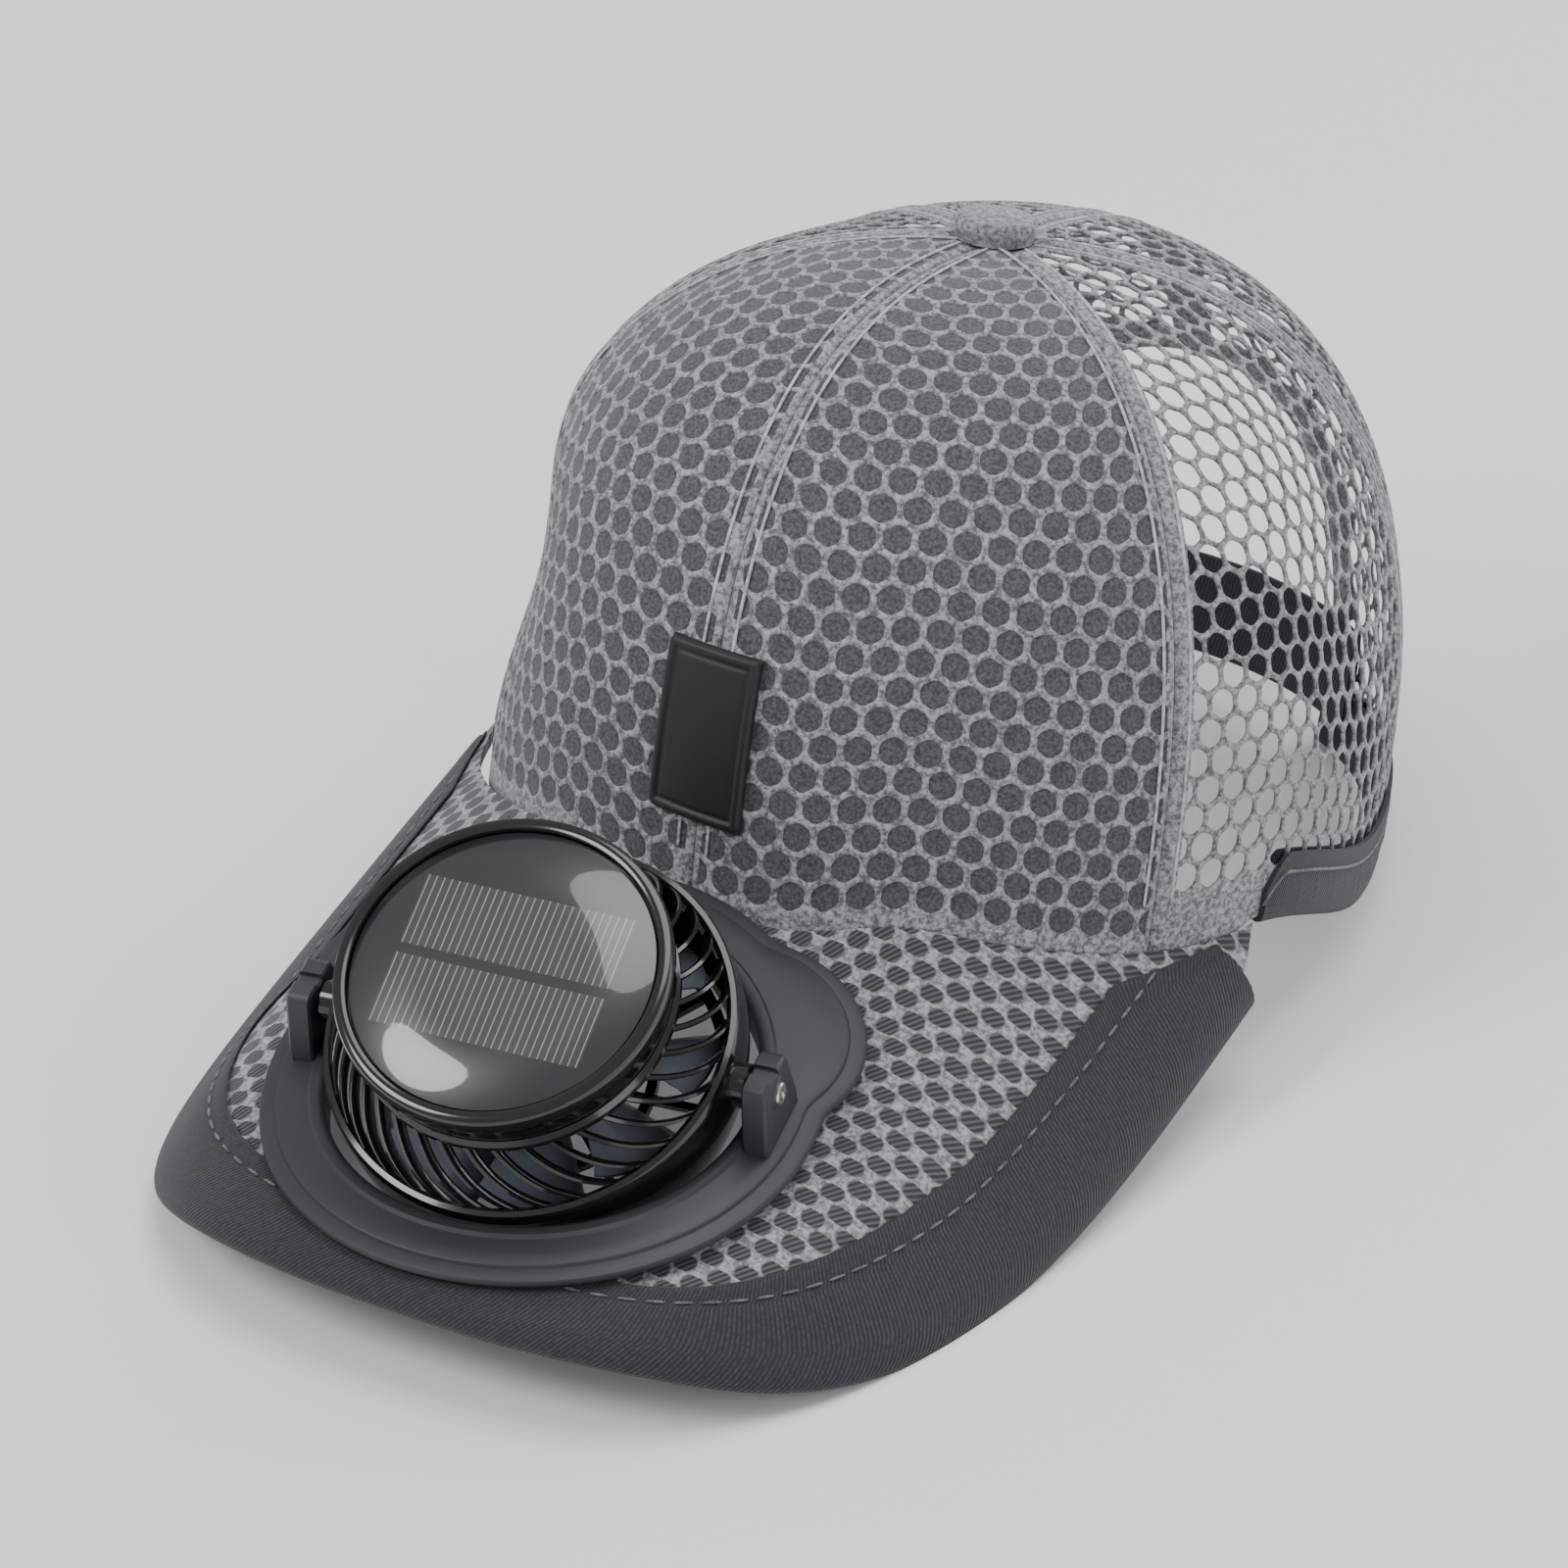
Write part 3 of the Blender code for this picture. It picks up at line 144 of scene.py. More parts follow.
rimAngles = np.linspace(0, 180, 361)
rimLevels = np.array([rimHeight(a) for a in rimAngles])
rimLevelsRight = np.array([peakTop(-float(baseReach(radians(a))) * sin(radians(a)), peakAlong(
    -float(baseReach(radians(a))) * sin(radians(a)), -float(baseReach(radians(a))) * cos(radians(a)))).z
    if a <= crown["rimCorner"] else 0.0 for a in rimAngles])
cornerRight = rimLevelsRight[rimAngles <= crown["rimCorner"]][-1]
for index, away in enumerate(rimAngles):
    if away > crown["rimCorner"]:
        blendShare = smooth((away - crown["rimCorner"]) / (110.0 - crown["rimCorner"]))
        rimLevelsRight[index] = rimLevels[index] if away > 110 else mix(
            cornerRight, rimHeights[0]["share"] * crown["height"], blendShare)


def rimLevel(angle):
    turn = (np.degrees(angle) + 180) % 360 - 180
    return np.where(turn >= 0, np.interp(np.abs(turn), rimAngles, rimLevels),
                    np.interp(np.abs(turn), rimAngles, rimLevelsRight))


def crownPoints(angle, rise):
    # Points of the crown's outside in the cap's own frame.
    angle, rise = np.broadcast_arrays(np.asarray(angle, float), np.asarray(rise, float))
    turn = (np.degrees(angle) + 180) % 360 - 180
    low = rimLevel(angle)
    reach = baseReach(angle)
    front, back = np.clip(np.cos(angle), 0, 1) ** 2, np.clip(-np.cos(angle), 0, 1) ** 2

    def between(name):
        side = meridians[1][name]
        return side + (meridians[0][name] - side) * front + (meridians[2][name] - side) * back
    heightPower = mix(meridians[0]["heightPower"], meridians[2]["heightPower"], (1 - np.cos(angle)) / 2)
    wide = np.maximum(np.cos(rise), 1e-9) ** between("widthPower") + between("bulge") * np.sin(2 * rise)
    tall = np.maximum(np.sin(rise), 1e-9) ** heightPower
    px = reach * np.sin(angle) * wide
    for dent in dents:
        off = (turn - dent["angle"]) / dent["spread"]
        up = (np.degrees(rise) - dent["rise"]) / dent["riseSpread"]
        side = 1 if dent["angle"] < 0 else -1
        px = px + side * dent["depthShare"] * crown["halfWidth"] * np.exp(-off * off - up * up)
    py = -reach * np.cos(angle) * wide + crown["topShift"] * (1 - wide)
    return np.stack([px, py, low + (crown["height"] - low) * tall], -1)


def crownNormals(angle, rise):
    step = 0.01
    rise = np.clip(rise, 0.03, pi / 2 - 0.012)
    across = crownPoints(angle + step, rise) - crownPoints(angle - step, rise)
    up = crownPoints(angle, rise + step) - crownPoints(angle, rise - step)
    normal = np.cross(across, up)
    return normal / np.linalg.norm(normal, axis=-1, keepdims=True)


def topRise(angle):
    angle = np.asarray(angle, float)
    low, high = np.full(angle.shape, 0.5), np.full(angle.shape, pi / 2)
    for _ in range(40):
        middle = (low + high) / 2
        point = crownPoints(angle, middle)
        wide = np.hypot(point[..., 0], point[..., 1] - crown["topShift"]) > crown["topHole"]
        low, high = np.where(wide, middle, low), np.where(wide, high, middle)
    return low


# Mesh building

def addPiece(name, points, faces, material, body, replaced=(), uv=None, smoothAngle=50):
    # One mesh piece in the row frame, riding on a body. The uv list holds millimetres per point.
    mesh = bpy.data.meshes.new(name)
    mesh.from_pydata([tuple(float(c) for c in p) for p in points], [], faces)
    if uv is not None:
        layer = mesh.uv_layers.new(name="millimetres")
        uv = np.asarray(uv, np.float32)
        corners = np.zeros(len(mesh.loops), np.int32)
        mesh.loops.foreach_get("vertex_index", corners)
        layer.data.foreach_set("uv", uv[corners].ravel())
    work = bmesh.new()
    work.from_mesh(mesh)
    bmesh.ops.recalc_face_normals(work, faces=work.faces)
    work.to_mesh(mesh)
    work.free()
    mesh.shade_smooth()
    mesh.set_sharp_from_angle(angle=radians(smoothAngle))
    mesh.materials.append(material)
    piece = bpy.data.objects.new(name, mesh)
    bpy.context.scene.collection.objects.link(piece)
    if replaced:
        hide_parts(*replaced)
    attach(piece, body)
    return piece


def loft(sections, ring=False, closedSection=True):
    # Faces between rows of points with equal counts, as (points, faces).
    count = len(sections[0])
    rows = len(sections)
    points = [p for section in sections for p in section]
    faces = []
    for row in range(rows if ring else rows - 1):
        after = (row + 1) % rows
        for k in range(count if closedSection else count - 1):
            m = (k + 1) % count
            faces.append((row * count + k, row * count + m, after * count + m, after * count + k))
    if not ring and closedSection:
        faces.append(tuple(range(count)))
        faces.append(tuple((rows - 1) * count + k for k in reversed(range(count))))
    return points, faces


# Materials

def colour(code):
    # sRGB hex to linear RGBA.
    parts = [int(code[i:i + 2], 16) / 255 for i in (0, 2, 4)]
    return (*[c / 12.92 if c <= 0.04045 else ((c + 0.055) / 1.055) ** 2.4 for c in parts], 1.0)


def newMaterial(name, roughness=0.8, **sockets):
    material = bpy.data.materials.new(name)
    material.use_nodes = True
    shader = material.node_tree.nodes["Principled BSDF"]
    shader.inputs["Roughness"].default_value = roughness
    for key, value in sockets.items():
        shader.inputs[key.replace("_", " ")].default_value = value
    return material, shader


def addNode(tree, kind, inputs=None, **settings):
    # A node with its settings, and inputs that are values or other nodes' outputs.
    node = tree.nodes.new(kind)
    for key, value in settings.items():
        setattr(node, key, value)
    for key, value in (inputs or {}).items():
        socket = node.inputs[key]
        if isinstance(value, bpy.types.NodeSocket):
            tree.links.new(value, socket)
        else:
            socket.default_value = value
    return node


def maths(tree, operation, a, b=0.0, c=0.0):
    return addNode(tree, "ShaderNodeMath", {0: a, 1: b, 2: c}, operation=operation).outputs[0]


def blendColour(tree, share, a, b):
    node = addNode(tree, "ShaderNodeMix", {0: share, 6: a, 7: b}, data_type="RGBA")
    return node.outputs[2]


def ramp(tree, value, low, high):
    # 0 below low and 1 above high, smoothly.
    return addNode(tree, "ShaderNodeMapRange", {0: value, 1: low, 2: high, 3: 0.0, 4: 1.0},
                   interpolation_type="SMOOTHSTEP").outputs[0]


def heather(tree, coordinates, scale, dark, light, share=0.5, spread=0.16):
    # Flecks of light and dark fibre in a yarn.
    flecks = addNode(tree, "ShaderNodeTexNoise", {"Vector": coordinates, "Scale": scale, "Detail": 3.0,
                                                  "Roughness": 0.7}).outputs[0]
    return blendColour(tree, ramp(tree, flecks, share - spread, share + spread), dark, light)


def fabricMaterial(name, dark, light, roughness=0.92, fleck=900.0, bumpScale=1800.0, bumpDepth=0.00012):
    # Heather yarn: flecks by the fibre, with a fuzzy surface.
    material, shader = newMaterial(name, roughness, Sheen_Weight=0.25, Sheen_Roughness=0.5,
                                   Specular_IOR_Level=0.25)
    tree = material.node_tree
    spot = addNode(tree, "ShaderNodeTexCoord").outputs["Object"]
    tree.links.new(heather(tree, spot, fleck, colour(dark), colour(light)), shader.inputs["Base Color"])
    fuzz = addNode(tree, "ShaderNodeTexNoise", {"Vector": spot, "Scale": bumpScale, "Detail": 2.0}).outputs[0]
    bump = addNode(tree, "ShaderNodeBump", {"Height": fuzz, "Distance": bumpDepth, "Strength": 1.0})
    tree.links.new(bump.outputs[0], shader.inputs["Normal"])
    return material


netYarn = fabricMaterial("grey_heather_mesh", "58585b", "a4a4a8")            # light strands over dark
backingCloth = fabricMaterial("dark_fine_backing", "3a3a3d", "5c5c60", fleck=1600.0)  # seen between strands
buttonCloth = fabricMaterial("button_cloth", "5c5c5f", "9c9ca0")
stitchThread = fabricMaterial("grey_thread", "8e8e92", "c2c2c6", roughness=0.7, fleck=500.0)
tapeThread = fabricMaterial("dark_thread", "45474d", "6b6d73", roughness=0.7, fleck=500.0)


def tapeMaterial():
    # Twill tape: fine diagonal ribs on blue-grey, with painted shade darkening the grooves between the ribs.
    material, shader = newMaterial("dark_woven_tape", 0.85, Sheen_Weight=0.15, Specular_IOR_Level=0.3)
    tree = material.node_tree
    spot = addNode(tree, "ShaderNodeUVMap", uv_map="millimetres").outputs[0]
    parts = addNode(tree, "ShaderNodeSeparateXYZ", {0: spot})
    diagonal = maths(tree, "ADD", parts.outputs[0], parts.outputs[1])
    ribs = maths(tree, "SINE", maths(tree, "MULTIPLY", diagonal, 2 * pi / 0.9))
    where = addNode(tree, "ShaderNodeTexCoord").outputs["Object"]
    flecks = heather(tree, where, 1400.0, colour("292b30"), colour("3c3f46"))
    # Painted shade: the colour goes to the dark 24262a where the ribs dip, the low side of the same rib bump.
    shade = ramp(tree, ribs, -1.0, 1.0)
    tree.links.new(blendColour(tree, shade, colour("24262a"), flecks), shader.inputs["Base Color"])
    bump = addNode(tree, "ShaderNodeBump", {"Height": ribs, "Distance": 0.00008, "Strength": 0.8})
    tree.links.new(bump.outputs[0], shader.inputs["Normal"])
    return material


darkTape = tapeMaterial()


def peakMaterial():
    # Rows of dark hatched dots on a lighter ground, joined by pale bars on one diagonal.
    material, shader = newMaterial("dotted_heather_cloth", 0.92, Sheen_Weight=0.25, Specular_IOR_Level=0.25)
    tree = material.node_tree
    spot = addNode(tree, "ShaderNodeUVMap", uv_map="millimetres").outputs[0]
    parts = addNode(tree, "ShaderNodeSeparateXYZ", {0: spot})
    u, v = parts.outputs[0], parts.outputs[1]
    row = maths(tree, "FLOOR", maths(tree, "DIVIDE", v, dotCloth["rowStep"]))
    offset = maths(tree, "MULTIPLY", maths(tree, "PINGPONG", row, 1.0), dotCloth["pitch"] / 2)
    across = maths(tree, "SUBTRACT", maths(tree, "FLOORED_MODULO", maths(tree, "ADD", u, offset),
                                           dotCloth["pitch"]), dotCloth["pitch"] / 2)
    down = maths(tree, "SUBTRACT", maths(tree, "FLOORED_MODULO", v, dotCloth["rowStep"]),
                 dotCloth["rowStep"] / 2)
    flat = addNode(tree, "ShaderNodeCombineXYZ", {0: across, 1: down}).outputs[0]
    away = addNode(tree, "ShaderNodeVectorMath", {0: flat}, operation="LENGTH").outputs[1]
    dot = maths(tree, "SUBTRACT", 1.0, ramp(tree, away, dotCloth["radius"] - 0.35, dotCloth["radius"] + 0.25))
    slant = maths(tree, "ADD", u, maths(tree, "MULTIPLY", v, 0.6))
    hatch = maths(tree, "SINE", maths(tree, "MULTIPLY", slant, 2 * pi / dotCloth["hatchStep"]))
    where = addNode(tree, "ShaderNodeTexCoord").outputs["Object"]
    ground = heather(tree, where, 900.0, colour("68686c"), colour("a8a8ad"))
    darkDot = blendColour(tree, ramp(tree, hatch, -0.6, 1.0), colour("303034"), colour("56565b"))
    tree.links.new(blendColour(tree, dot, ground, darkDot), shader.inputs["Base Color"])
    height = maths(tree, "ADD", maths(tree, "MULTIPLY", dot, -0.7), maths(tree, "MULTIPLY", hatch, 0.12))
    fuzz = addNode(tree, "ShaderNodeTexNoise", {"Vector": where, "Scale": 1600.0, "Detail": 2.0}).outputs[0]
    total = maths(tree, "ADD", height, maths(tree, "MULTIPLY", fuzz, 0.4))
    bump = addNode(tree, "ShaderNodeBump", {"Height": total, "Distance": 0.00028, "Strength": 1.0})
    tree.links.new(bump.outputs[0], shader.inputs["Normal"])
    return material


dotCloth = dict(pitch=6.5, rowStep=3.4, radius=2.1, hatchStep=1.1)
dottedCloth = peakMaterial()
patchLeather, patchShader = newMaterial("black_patch_leather", 0.5, Specular_IOR_Level=0.4)
patchShader.inputs["Base Color"].default_value = colour("1d1d1f")
mattePlastic, matteShader = newMaterial("dark_matte_moulding", 0.48)
matteShader.inputs["Base Color"].default_value = colour("2d2e32")
glossPlastic, glossShader = newMaterial("polished_black_moulding", 0.14, Coat_Weight=0.3, Coat_Roughness=0.05)
glossShader.inputs["Base Color"].default_value = colour("141416")
bladePlastic, bladeShader = newMaterial("smoky_blade_moulding", 0.3)
bladeShader.inputs["Base Color"].default_value = colour("737885")
screwSteel, screwShader = newMaterial("bright_screw_steel", 0.25, Metallic=1.0)
screwShader.inputs["Base Color"].default_value = colour("c9c8c4")


def printStage(text):
    print("scene:", text, flush=True)


# Crown panels

net = dict(cellWidth=6.2, strand=0.95, seamMargin=3.8, rimMargin=9.0, topMargin=8.0, wall=0.7, seamRoll=0.9,
           boundaryStep=1.6)
backedNet = dict(strand=1.1, seamMargin=1.4, rimMargin=2.4, topMargin=5.0)


def panelChart(start, end):
    # Millimetre chart of a panel: v up its middle line, u across it.
    a, b = radians(start), radians(end)
    middle, half = (a + b) / 2, (b - a) / 2
    top = float(topRise(np.array(middle)))
    shares = np.linspace(0, 1, 160)
    line = crownPoints(middle, shares * top) * 1000
    v = np.concatenate([[0], np.cumsum(np.linalg.norm(np.diff(line, axis=0), axis=1))])
    turns = np.linspace(-half, half, 25)
    tops = topRise(middle + turns)
    rows = np.stack([crownPoints(middle + t, shares * r) * 1000 for t, r in zip(turns, tops)])
    lengths = np.linalg.norm(np.diff(rows, axis=0), axis=2).sum(0) / 2
    return dict(middle=middle, half=half, v=v, shares=shares, width=lengths, turns=turns, tops=tops)


def chartToCrown(chart, u, v):
    # Angle, rise and distance to the nearest seam for chart points.
    width = np.interp(v, chart["v"], chart["width"])
    turn = np.clip(u / np.maximum(width, 0.5), -1, 1) * chart["half"]
    share = np.interp(v, chart["v"], chart["shares"])
    rise = share * np.interp(turn, chart["turns"], chart["tops"])
    return chart["middle"] + turn, rise, width - np.abs(u)


def archSpot(x, height):
    # Angle and rise of the back point at an x (cap frame, positive side) and height.
    low, high = radians(95.0), pi
    for _ in range(40):
        middle = (low + high) / 2
        foot = float(rimLevel(middle))
        heightPower = mix(meridians[0]["heightPower"], meridians[2]["heightPower"], (1 - cos(middle)) / 2)
        rise = asin(clamp((height - foot) / (crown["height"] - foot), 0, 1) ** (1 / heightPower))
        if float(crownPoints(middle, rise)[0]) > x:
            low = middle
        else:
            high = middle
    return middle, rise


arch = dict(halfWidth=0.040, height=0.068, power=2.4, margin=7.0)


def panelOutline(chart, side, withArch):
    # Boundary loop of a panel in its chart, anticlockwise.
    step = net["boundaryStep"]
    vTop = chart["v"][-1]
    gap = 0.10

    def edge(v, sign):
        return sign * (np.interp(v, chart["v"], chart["width"]) - gap), v
    count = int(vTop / step)
    right = [edge(v, 1) for v in np.linspace(0, vTop, count)]
    left = [edge(v, -1) for v in np.linspace(vTop, 0, count)]
    wide = chart["width"][0]
    across = int(2 * wide / step)
    if not withArch:
        bottom = [(u, 0.0) for u in np.linspace(-wide + gap, wide - gap, across)][1:-1]
        return bottom + right + left, []
    # The arch cuts the corner at the back seam, which is at +u on the left panel and -u on the right
    foot = float(rimLevel(pi))
    curve = []
    for k in range(33):
        turn = pi / 2 * k / 32
        x = arch["halfWidth"] * cos(turn)
        share = clamp(x / arch["halfWidth"])
        height = foot + arch["height"] * (1 - share ** arch["power"]) ** (1 / arch["power"])
        angle, rise = archSpot(max(x, 0.0002), max(height, foot))
        top = float(topRise(np.array(angle)))
        v = float(np.interp(rise / top, chart["shares"], chart["v"]))
        width = float(np.interp(v, chart["v"], chart["width"]))
        share = (angle - abs(chart["middle"])) / abs(chart["half"])
        curve.append((clamp(share, -1, 1) * (width - gap), v))
    endV = curve[-1][1]
    curve[0] = (curve[0][0], 0.0)
    outer = [(-(np.interp(v, chart["v"], chart["width"]) - gap), v) for v in np.linspace(vTop, 0, count)]
    inner = [(np.interp(v, chart["v"], chart["width"]) - gap, v)
             for v in np.linspace(endV, vTop, int((vTop - endV) / step))][1:]
    bottom = [(u, 0.0) for u in np.linspace(-wide + gap, curve[0][0], across // 2)][1:-1]
    loop = bottom + curve + inner + outer
    if side < 0:
        loop = [(-u, v) for u, v in reversed(loop)]
        curve = [(-u, v) for u, v in curve]
    return loop, curve


def clipBeside(cell, chart, sizes):
    # A cell cut off at the solid cloth beside the seams.
    for sign in (1, -1):
        cut = []
        for p, q in zip(cell, cell[1:] + cell[:1]):
            widths = (float(np.interp(s[1], chart["v"], chart["width"])) for s in (p, q))
            here, there = (wide - sizes["seamMargin"] - sign * s[0] for wide, s in zip(widths, (p, q)))
            if here >= 0:
                cut.append(p)
            if here * there < 0:
                share = here / (here - there)
                cut.append((mix(p[0], q[0], share), mix(p[1], q[1], share)))
        cell = cut
        if len(cell) < 3:
            return []
    tidy = []
    for p in cell:
        if all(hypot(p[0] - q[0], p[1] - q[1]) > 0.2 for q in tidy):
            tidy.append(p)
    return tidy


def insideArch(u, v, curve):
    # Whether a chart point lies in the arched opening.
    order = np.argsort(curve[:, 1])
    bound = np.interp(v, curve[order, 1], np.abs(curve[order, 0]))
    return v < curve[:, 1].max() and abs(u) > bound and u * curve[0, 0] > 0


def solidTriangles(spots, triangles, chart, cells, curve):
    # Which triangles are cloth: inside the outline and in no cell.
    centres = spots[triangles].mean(1)
    kept = np.abs(centres[:, 0]) < np.interp(centres[:, 1], chart["v"], chart["width"]) - 0.12
    for cell in cells:
        cell = np.array(cell)
        middle = cell.mean(0)
        near = np.where(np.abs(centres - middle).max(1) < net["cellWidth"])[0]
        inside = np.ones(len(near), bool)
        for p, q in zip(cell, np.roll(cell, -1, axis=0)):
            run, off = q - p, centres[near] - p
            inside &= run[0] * off[:, 1] - run[1] * off[:, 0] > 0
        kept[near[inside]] = False
    if curve is not None:
        kept &= ~np.array([insideArch(u, v, curve) for u, v in centres])
    return kept


def netPanel(name, start, end, side, withArch=False, backed=False):
    chart = panelChart(start, end)
    loop, curve = panelOutline(chart, side, withArch)
    cells = []
    sizes = {**net, **(backedNet if backed else {})}
    width, strand = sizes["cellWidth"], sizes["strand"]
    hexSide = width / sqrt(3)
    reach = (width - strand) / sqrt(3)
    rowStep = 1.5 * hexSide
    rows = int((chart["v"][-1] - sizes["rimMargin"] - sizes["topMargin"] - reach) / rowStep)
    curveArray = np.array(curve) if curve else None
    for row in range(rows + 1):
        vMid = sizes["rimMargin"] + reach + row * rowStep
        limit = float(np.interp(vMid, chart["v"], chart["width"])) - sizes["seamMargin"]
        columns = max(int(limit / width) + 2, 0)
        for column in range(-columns, columns + 1):
            uMid = (column + (0.5 if row % 2 else 0)) * width
            if curveArray is not None:
                beside = np.hypot(curveArray[:, 0] - uMid, curveArray[:, 1] - vMid).min()
                if beside < arch["margin"] or insideArch(uMid, vMid, curveArray):
                    continue
            cell = []
            for k in range(12):
                corner = radians(60 * (k // 2) + 30 + (11 if k % 2 else -11))
                cell.append((uMid + reach * 0.97 * cos(corner), vMid + reach * 0.97 * sin(corner)))
            cell = clipBeside(cell, chart, sizes)
            if len(cell) > 4 and max(p[0] for p in cell) - min(p[0] for p in cell) > 1.5:
                cells.append(cell)
    points2d = [Vector(p) for p in loop]
    faces2d = [list(range(len(loop)))]
    for cell in cells:
        first = len(points2d)
        points2d += [Vector(p) for p in cell]
        faces2d.append(list(range(first, first + len(cell))))
    # Rows of loose points beside the seams, where the cloth rolls under
    for u, v in loop:
        bound = float(np.interp(v, chart["v"], chart["width"]))
        if abs(abs(u) - bound) < 0.3 and 1 < v < chart["v"][-1] - 4 and bound > 5:
            for inset in (0.8, 2.0):
                points2d.append(Vector(((abs(u) - inset) * (1 if u > 0 else -1), v)))
    for v in np.arange(1.8, sizes["rimMargin"] - 0.5, 2.4):
        bound = float(np.interp(v, chart["v"], chart["width"])) - 4
        for u in np.linspace(-bound, bound, int(bound / 1.6)):
            if curveArray is None or not (insideArch(u, v, curveArray) or np.hypot(
                    curveArray[:, 0] - u, curveArray[:, 1] - v).min() < 1.0):
                points2d.append(Vector((u, v)))
    result = delaunay_2d_cdt(points2d, [], faces2d, 0, 1e-5, False)
    spots, triangles = np.array([tuple(p) for p in result[0]]), np.array([tuple(t) for t in result[2]])
    solid = solidTriangles(spots, triangles, chart, cells, curveArray)
    kept = [tuple(int(i) for i in t) for t in triangles[solid]]
    used = sorted({i for t in kept for i in t})
    remap = {old: new for new, old in enumerate(used)}
    kept = [tuple(remap[i] for i in t) for t in kept]
    spots = spots[used]
    angle, rise, seam = chartToCrown(chart, spots[:, 0], spots[:, 1])
    outer, normal = crownPoints(angle, rise), crownNormals(angle, rise)
    drop = np.where(spots[:, 1] < 0.01, 1.0, 0.0)
    away = np.abs((np.degrees(angle) + 180) % 360 - 180)
    below = peak["thickness"] * (1 - np.clip((away - crown["rimCorner"] + 8) / 8, 0, 1)) * drop
    outer[:, 2] -= below
    roll = sizes["seamRoll"] * 0.001 * np.clip(1 - np.maximum(seam, 0) / 2.2, 0, 1) ** 2
    outer = outer - normal * roll[:, None]
    edges = {}
    for t in kept:
        for p, q in zip(t, t[1:] + t[:1]):
            edges.setdefault((min(p, q), max(p, q)), []).append((p, q))
    rim = [uses[0] for uses in edges.values() if len(uses) == 1]
    wall = sizes["wall"] * 0.001
    count = len(spots)
    inner = outer - normal * wall
    # A middle ring bulges into each opening, so that the strands are round
    onEdge = sorted({i for e in rim for i in e})
    outward = np.zeros((count, 2))
    for p, q in rim:
        run = spots[q] - spots[p]
        side2 = np.array([run[1], -run[0]]) / max(np.linalg.norm(run), 1e-9)
        outward[p] += side2
        outward[q] += side2
    outward /= np.maximum(np.linalg.norm(outward, axis=1, keepdims=True), 1e-9)
    bulge = spots + outward * 0.28
    inCell = seam > sizes["seamMargin"] - 0.5
    bulge = np.where(inCell[:, None], bulge, spots)
    angle2, rise2, _ = chartToCrown(chart, bulge[:, 0], bulge[:, 1])
    middleRing = crownPoints(angle2, rise2) - crownNormals(angle2, rise2) * (wall / 2)
    middleRing = middleRing - normal * roll[:, None]
    middleRing[:, 2] -= below
    ringIndex = {old: 2 * count + k for k, old in enumerate(onEdge)}
    points = np.concatenate([outer, inner, middleRing[onEdge]])
    faces = [t for t in kept] + [(c + count, b + count, a + count) for a, b, c in kept]
    for p, q in rim:
        faces.append((q, p, ringIndex[p], ringIndex[q]))
        faces.append((ringIndex[q], ringIndex[p], p + count, q + count))
    uv = np.concatenate([spots, spots, spots[onEdge]])
    piece = addPiece(name, toStand(points), faces, netYarn, "hat", [name],
                     uv, 80)
    if backed:
        addBacking(name.replace("panel", "backing"), chart)
    return chart, curve


def addBacking(name, chart):
    # Fine dark cloth close under the net of a front panel.
    columns, rows = 40, 60
    layers = []
    for depth in (0.30, 0.90):
        grid = []
        for j in range(rows + 1):
            v = mix(0.6, chart["v"][-1] - 3.0, j / rows)
            width = float(np.interp(v, chart["v"], chart["width"])) - 0.5
            us = np.linspace(-width, width, columns + 1)
            angle, rise, seam = chartToCrown(chart, us, np.full(columns + 1, v))
            normal = crownNormals(angle, rise)
            roll = net["seamRoll"] * 0.001 * np.clip(1 - np.maximum(seam, 0) / 2.2, 0, 1) ** 2
            grid.append(crownPoints(angle, rise) - normal * (depth * 0.001 + roll[:, None] * 0.9))
        layers.append(np.array(grid))
    size = (columns + 1) * (rows + 1)
    points = np.concatenate([layer.reshape(-1, 3) for layer in layers])
    faces = []
    for j in range(rows):
        for i in range(columns):
            a = j * (columns + 1) + i
            b, c, d = a + 1, a + columns + 2, a + columns + 1
            faces += [(a, b, c, d), (size + d, size + c, size + b, size + a)]
    border = ([i for i in range(columns)] + [j * (columns + 1) + columns for j in range(rows)]
              + [rows * (columns + 1) + i for i in range(columns, 0, -1)]
              + [j * (columns + 1) for j in range(rows, 0, -1)])
    for p, q in zip(border, border[1:] + border[:1]):
        faces.append((q, p, size + p, size + q))
    addPiece(name, toStand(points), faces, backingCloth, "hat", ())


side, rear = crown["sideSeam"], crown["rearSeam"]
panelRows = [
    dict(name="front_panel_left", start=0.0, end=side, side=1, withArch=False, backed=True),
    dict(name="front_panel_right", start=-side, end=0.0, side=-1, withArch=False, backed=True),
    dict(name="side_panel_left", start=side, end=rear, side=1, withArch=False, backed=False),
    dict(name="side_panel_right", start=-rear, end=-side, side=-1, withArch=False, backed=False),
    dict(name="back_panel_left", start=rear, end=180.0, side=1, withArch=True, backed=False),
    dict(name="back_panel_right", start=-180.0, end=-rear, side=-1, withArch=True, backed=False),
]
for row in panelRows:
    netPanel(**row)
    printStage(row["name"])

# Stitches

stitch = dict(pitch=2.9, length=2.1, width=0.62, height=0.45)


